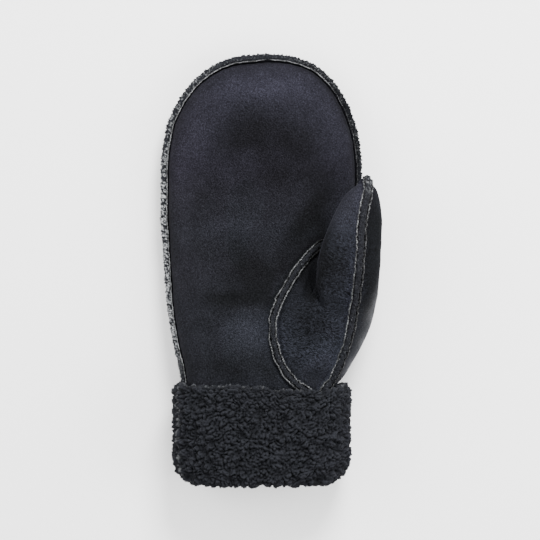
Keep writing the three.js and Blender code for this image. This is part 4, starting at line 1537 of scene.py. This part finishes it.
class PiecesOperator:
    bl_options = {"REGISTER", "UNDO"}


class MITTEN_OT_palm_panel(PiecesOperator, bpy.types.Operator):
    """Cut the palm panel and turn its lips out"""

    bl_idname = "mitten.palm_panel"
    bl_label = "Palm Panel"

    def execute(self, context):
        suede_panel("palm", "palm_panel")
        return {"FINISHED"}


class MITTEN_OT_back_panel(PiecesOperator, bpy.types.Operator):
    """Cut the back panel, which wraps the back of the thumb, and turn its lips out"""

    bl_idname = "mitten.back_panel"
    bl_label = "Back Panel"

    def execute(self, context):
        suede_panel("back", "back_panel")
        return {"FINISHED"}


class MITTEN_OT_thumb_panel(PiecesOperator, bpy.types.Operator):
    """Cut the thumb's front with its teardrop and turn its lips out"""

    bl_idname = "mitten.thumb_panel"
    bl_label = "Thumb Panel"

    def execute(self, context):
        suede_panel("thumb", "thumb_panel")
        return {"FINISHED"}


class MITTEN_OT_seams(PiecesOperator, bpy.types.Operator):
    """Fill the three seams with raw wool and loose hairs"""

    bl_idname = "mitten.seams"
    bl_label = "Seams"

    def execute(self, context):
        pile_strip("edge", "edge_seam", 0.44)
        pile_strip("thumb", "thumb_seam", 0.34)
        pile_strip("base", "thumb_base_seam", 0.3)
        finish_piece(seam_hairs(), "seam_pile")
        return {"FINISHED"}


class MITTEN_OT_cuff(PiecesOperator, bpy.types.Operator):
    """Make the turned-up cuff in curly wool, with loose hairs"""

    bl_idname = "mitten.cuff"
    bl_label = "Cuff"

    def execute(self, context):
        halves = cuff_halves()
        for half, node in zip(halves, ("cuff_palm_half", "cuff_back_half")):
            half.data.materials.append(wool_material("cuff_wool", 0.0))
            finish_piece(half, "pile", node)
        finish_piece(cuff_hairs(halves), "pile")
        return {"FINISHED"}


class MITTEN_OT_lining(PiecesOperator, bpy.types.Operator):
    """Line the hand with wool"""

    bl_idname = "mitten.lining"
    bl_label = "Lining"

    def execute(self, context):
        piece = lining()
        piece.data.materials.append(wool_material("cuff_wool", 0.0))
        finish_piece(piece, "pile")
        return {"FINISHED"}


class MITTEN_OT_stage(PiecesOperator, bpy.types.Operator):
    """Set the floor, the soft lights and the camera over the mitten"""

    bl_idname = "mitten.stage"
    bl_label = "Stage"

    def execute(self, context):
        if body.cache_info().currsize:
            bpy.data.objects.remove(body())
            body.cache_clear()
        add_floor()
        add_lights()
        add_camera()
        return {"FINISHED"}


# Floor, lights and camera

FRAME_WIDTH = 540 * 0.63 * MM  # width that the picture takes in at the mitten's middle height
CAMERA_HEIGHT = 1.6
SENSOR_WIDTH = 36
AIM = (-0.2 * MM, 0.2 * MM, 20 * MM)

SKY_STRENGTH = 1.7

# Area lights: name, place, size and watts
LIGHTS = (
    ("key", (0.25, 0.85, 0.9), 0.5, 38.0),
    ("fill_left", (-0.9, 0.3, 0.7), 0.9, 8.0),
    ("fill_right", (0.9, -0.1, 0.6), 0.7, 9.0),
    ("fill_low", (0.0, -0.9, 0.8), 0.9, 3.0),
)


def add_floor():
    bpy.ops.object.select_all(action="DESELECT")
    bpy.ops.mesh.primitive_plane_add(size=6, location=(0, 0, 0))
    floor = bpy.context.object
    floor.name = "floor"
    material, shader, _, _ = node_material("floor")
    shader.inputs["Base Color"].default_value = (*colours().floor, 1)
    set_gloss(shader, 0.9, 0.1)
    floor.data.materials.append(material)


def add_lights():
    world = bpy.data.worlds.new("studio")
    world.use_nodes = True
    sky = world.node_tree.nodes["Background"].inputs
    sky["Color"].default_value = (1, 1, 1, 1)
    sky["Strength"].default_value = SKY_STRENGTH
    bpy.context.scene.world = world
    for name, place, size, watts in LIGHTS:
        light = bpy.data.lights.new(name, "AREA")
        light.shape = "DISK"
        light.size = size
        light.energy = watts
        lamp = bpy.data.objects.new(name, light)
        lamp.location = place
        lamp.rotation_euler = (Vector(AIM) - Vector(place)).to_track_quat("-Z", "Y").to_euler()
        bpy.context.scene.collection.objects.link(lamp)


def add_camera():
    data = bpy.data.cameras.new("camera")
    data.sensor_width = SENSOR_WIDTH
    data.lens = SENSOR_WIDTH * (CAMERA_HEIGHT - AIM[2]) / FRAME_WIDTH
    camera = bpy.data.objects.new("camera", data)
    camera.location = (AIM[0], AIM[1], CAMERA_HEIGHT)
    bpy.context.scene.collection.objects.link(camera)
    bpy.context.scene.camera = camera


STEPS = ("palm_panel", "back_panel", "thumb_panel", "seams", "cuff", "lining", "stage")


class MITTEN_PT_panel(bpy.types.Panel):
    """The mitten's sizes, colours and pieces"""

    bl_idname = "MITTEN_PT_panel"
    bl_label = "Mitten"
    bl_space_type = "VIEW_3D"
    bl_region_type = "UI"
    bl_category = "Mitten"

    def draw(self, context):
        for group in (context.scene.mitten_sizes, context.scene.mitten_colours):
            for name in group.__annotations__:
                self.layout.prop(group, name)
        for step in STEPS:
            self.layout.operator(f"mitten.{step}")


CLASSES = (
    MittenSizes,
    MittenColours,
    MITTEN_OT_palm_panel,
    MITTEN_OT_back_panel,
    MITTEN_OT_thumb_panel,
    MITTEN_OT_seams,
    MITTEN_OT_cuff,
    MITTEN_OT_lining,
    MITTEN_OT_stage,
    MITTEN_PT_panel,
)


def register():
    for cls in CLASSES:
        bpy.utils.register_class(cls)
    bpy.types.Scene.mitten_sizes = bpy.props.PointerProperty(type=MittenSizes)
    bpy.types.Scene.mitten_colours = bpy.props.PointerProperty(type=MittenColours)


def unregister():
    del bpy.types.Scene.mitten_sizes
    del bpy.types.Scene.mitten_colours
    for cls in reversed(CLASSES):
        bpy.utils.unregister_class(cls)


def main():
    register()
    bpy.context.scene.frame_set(1)
    for step in STEPS:
        getattr(bpy.ops.mitten, step)()


if __name__ == "__main__":
    main()
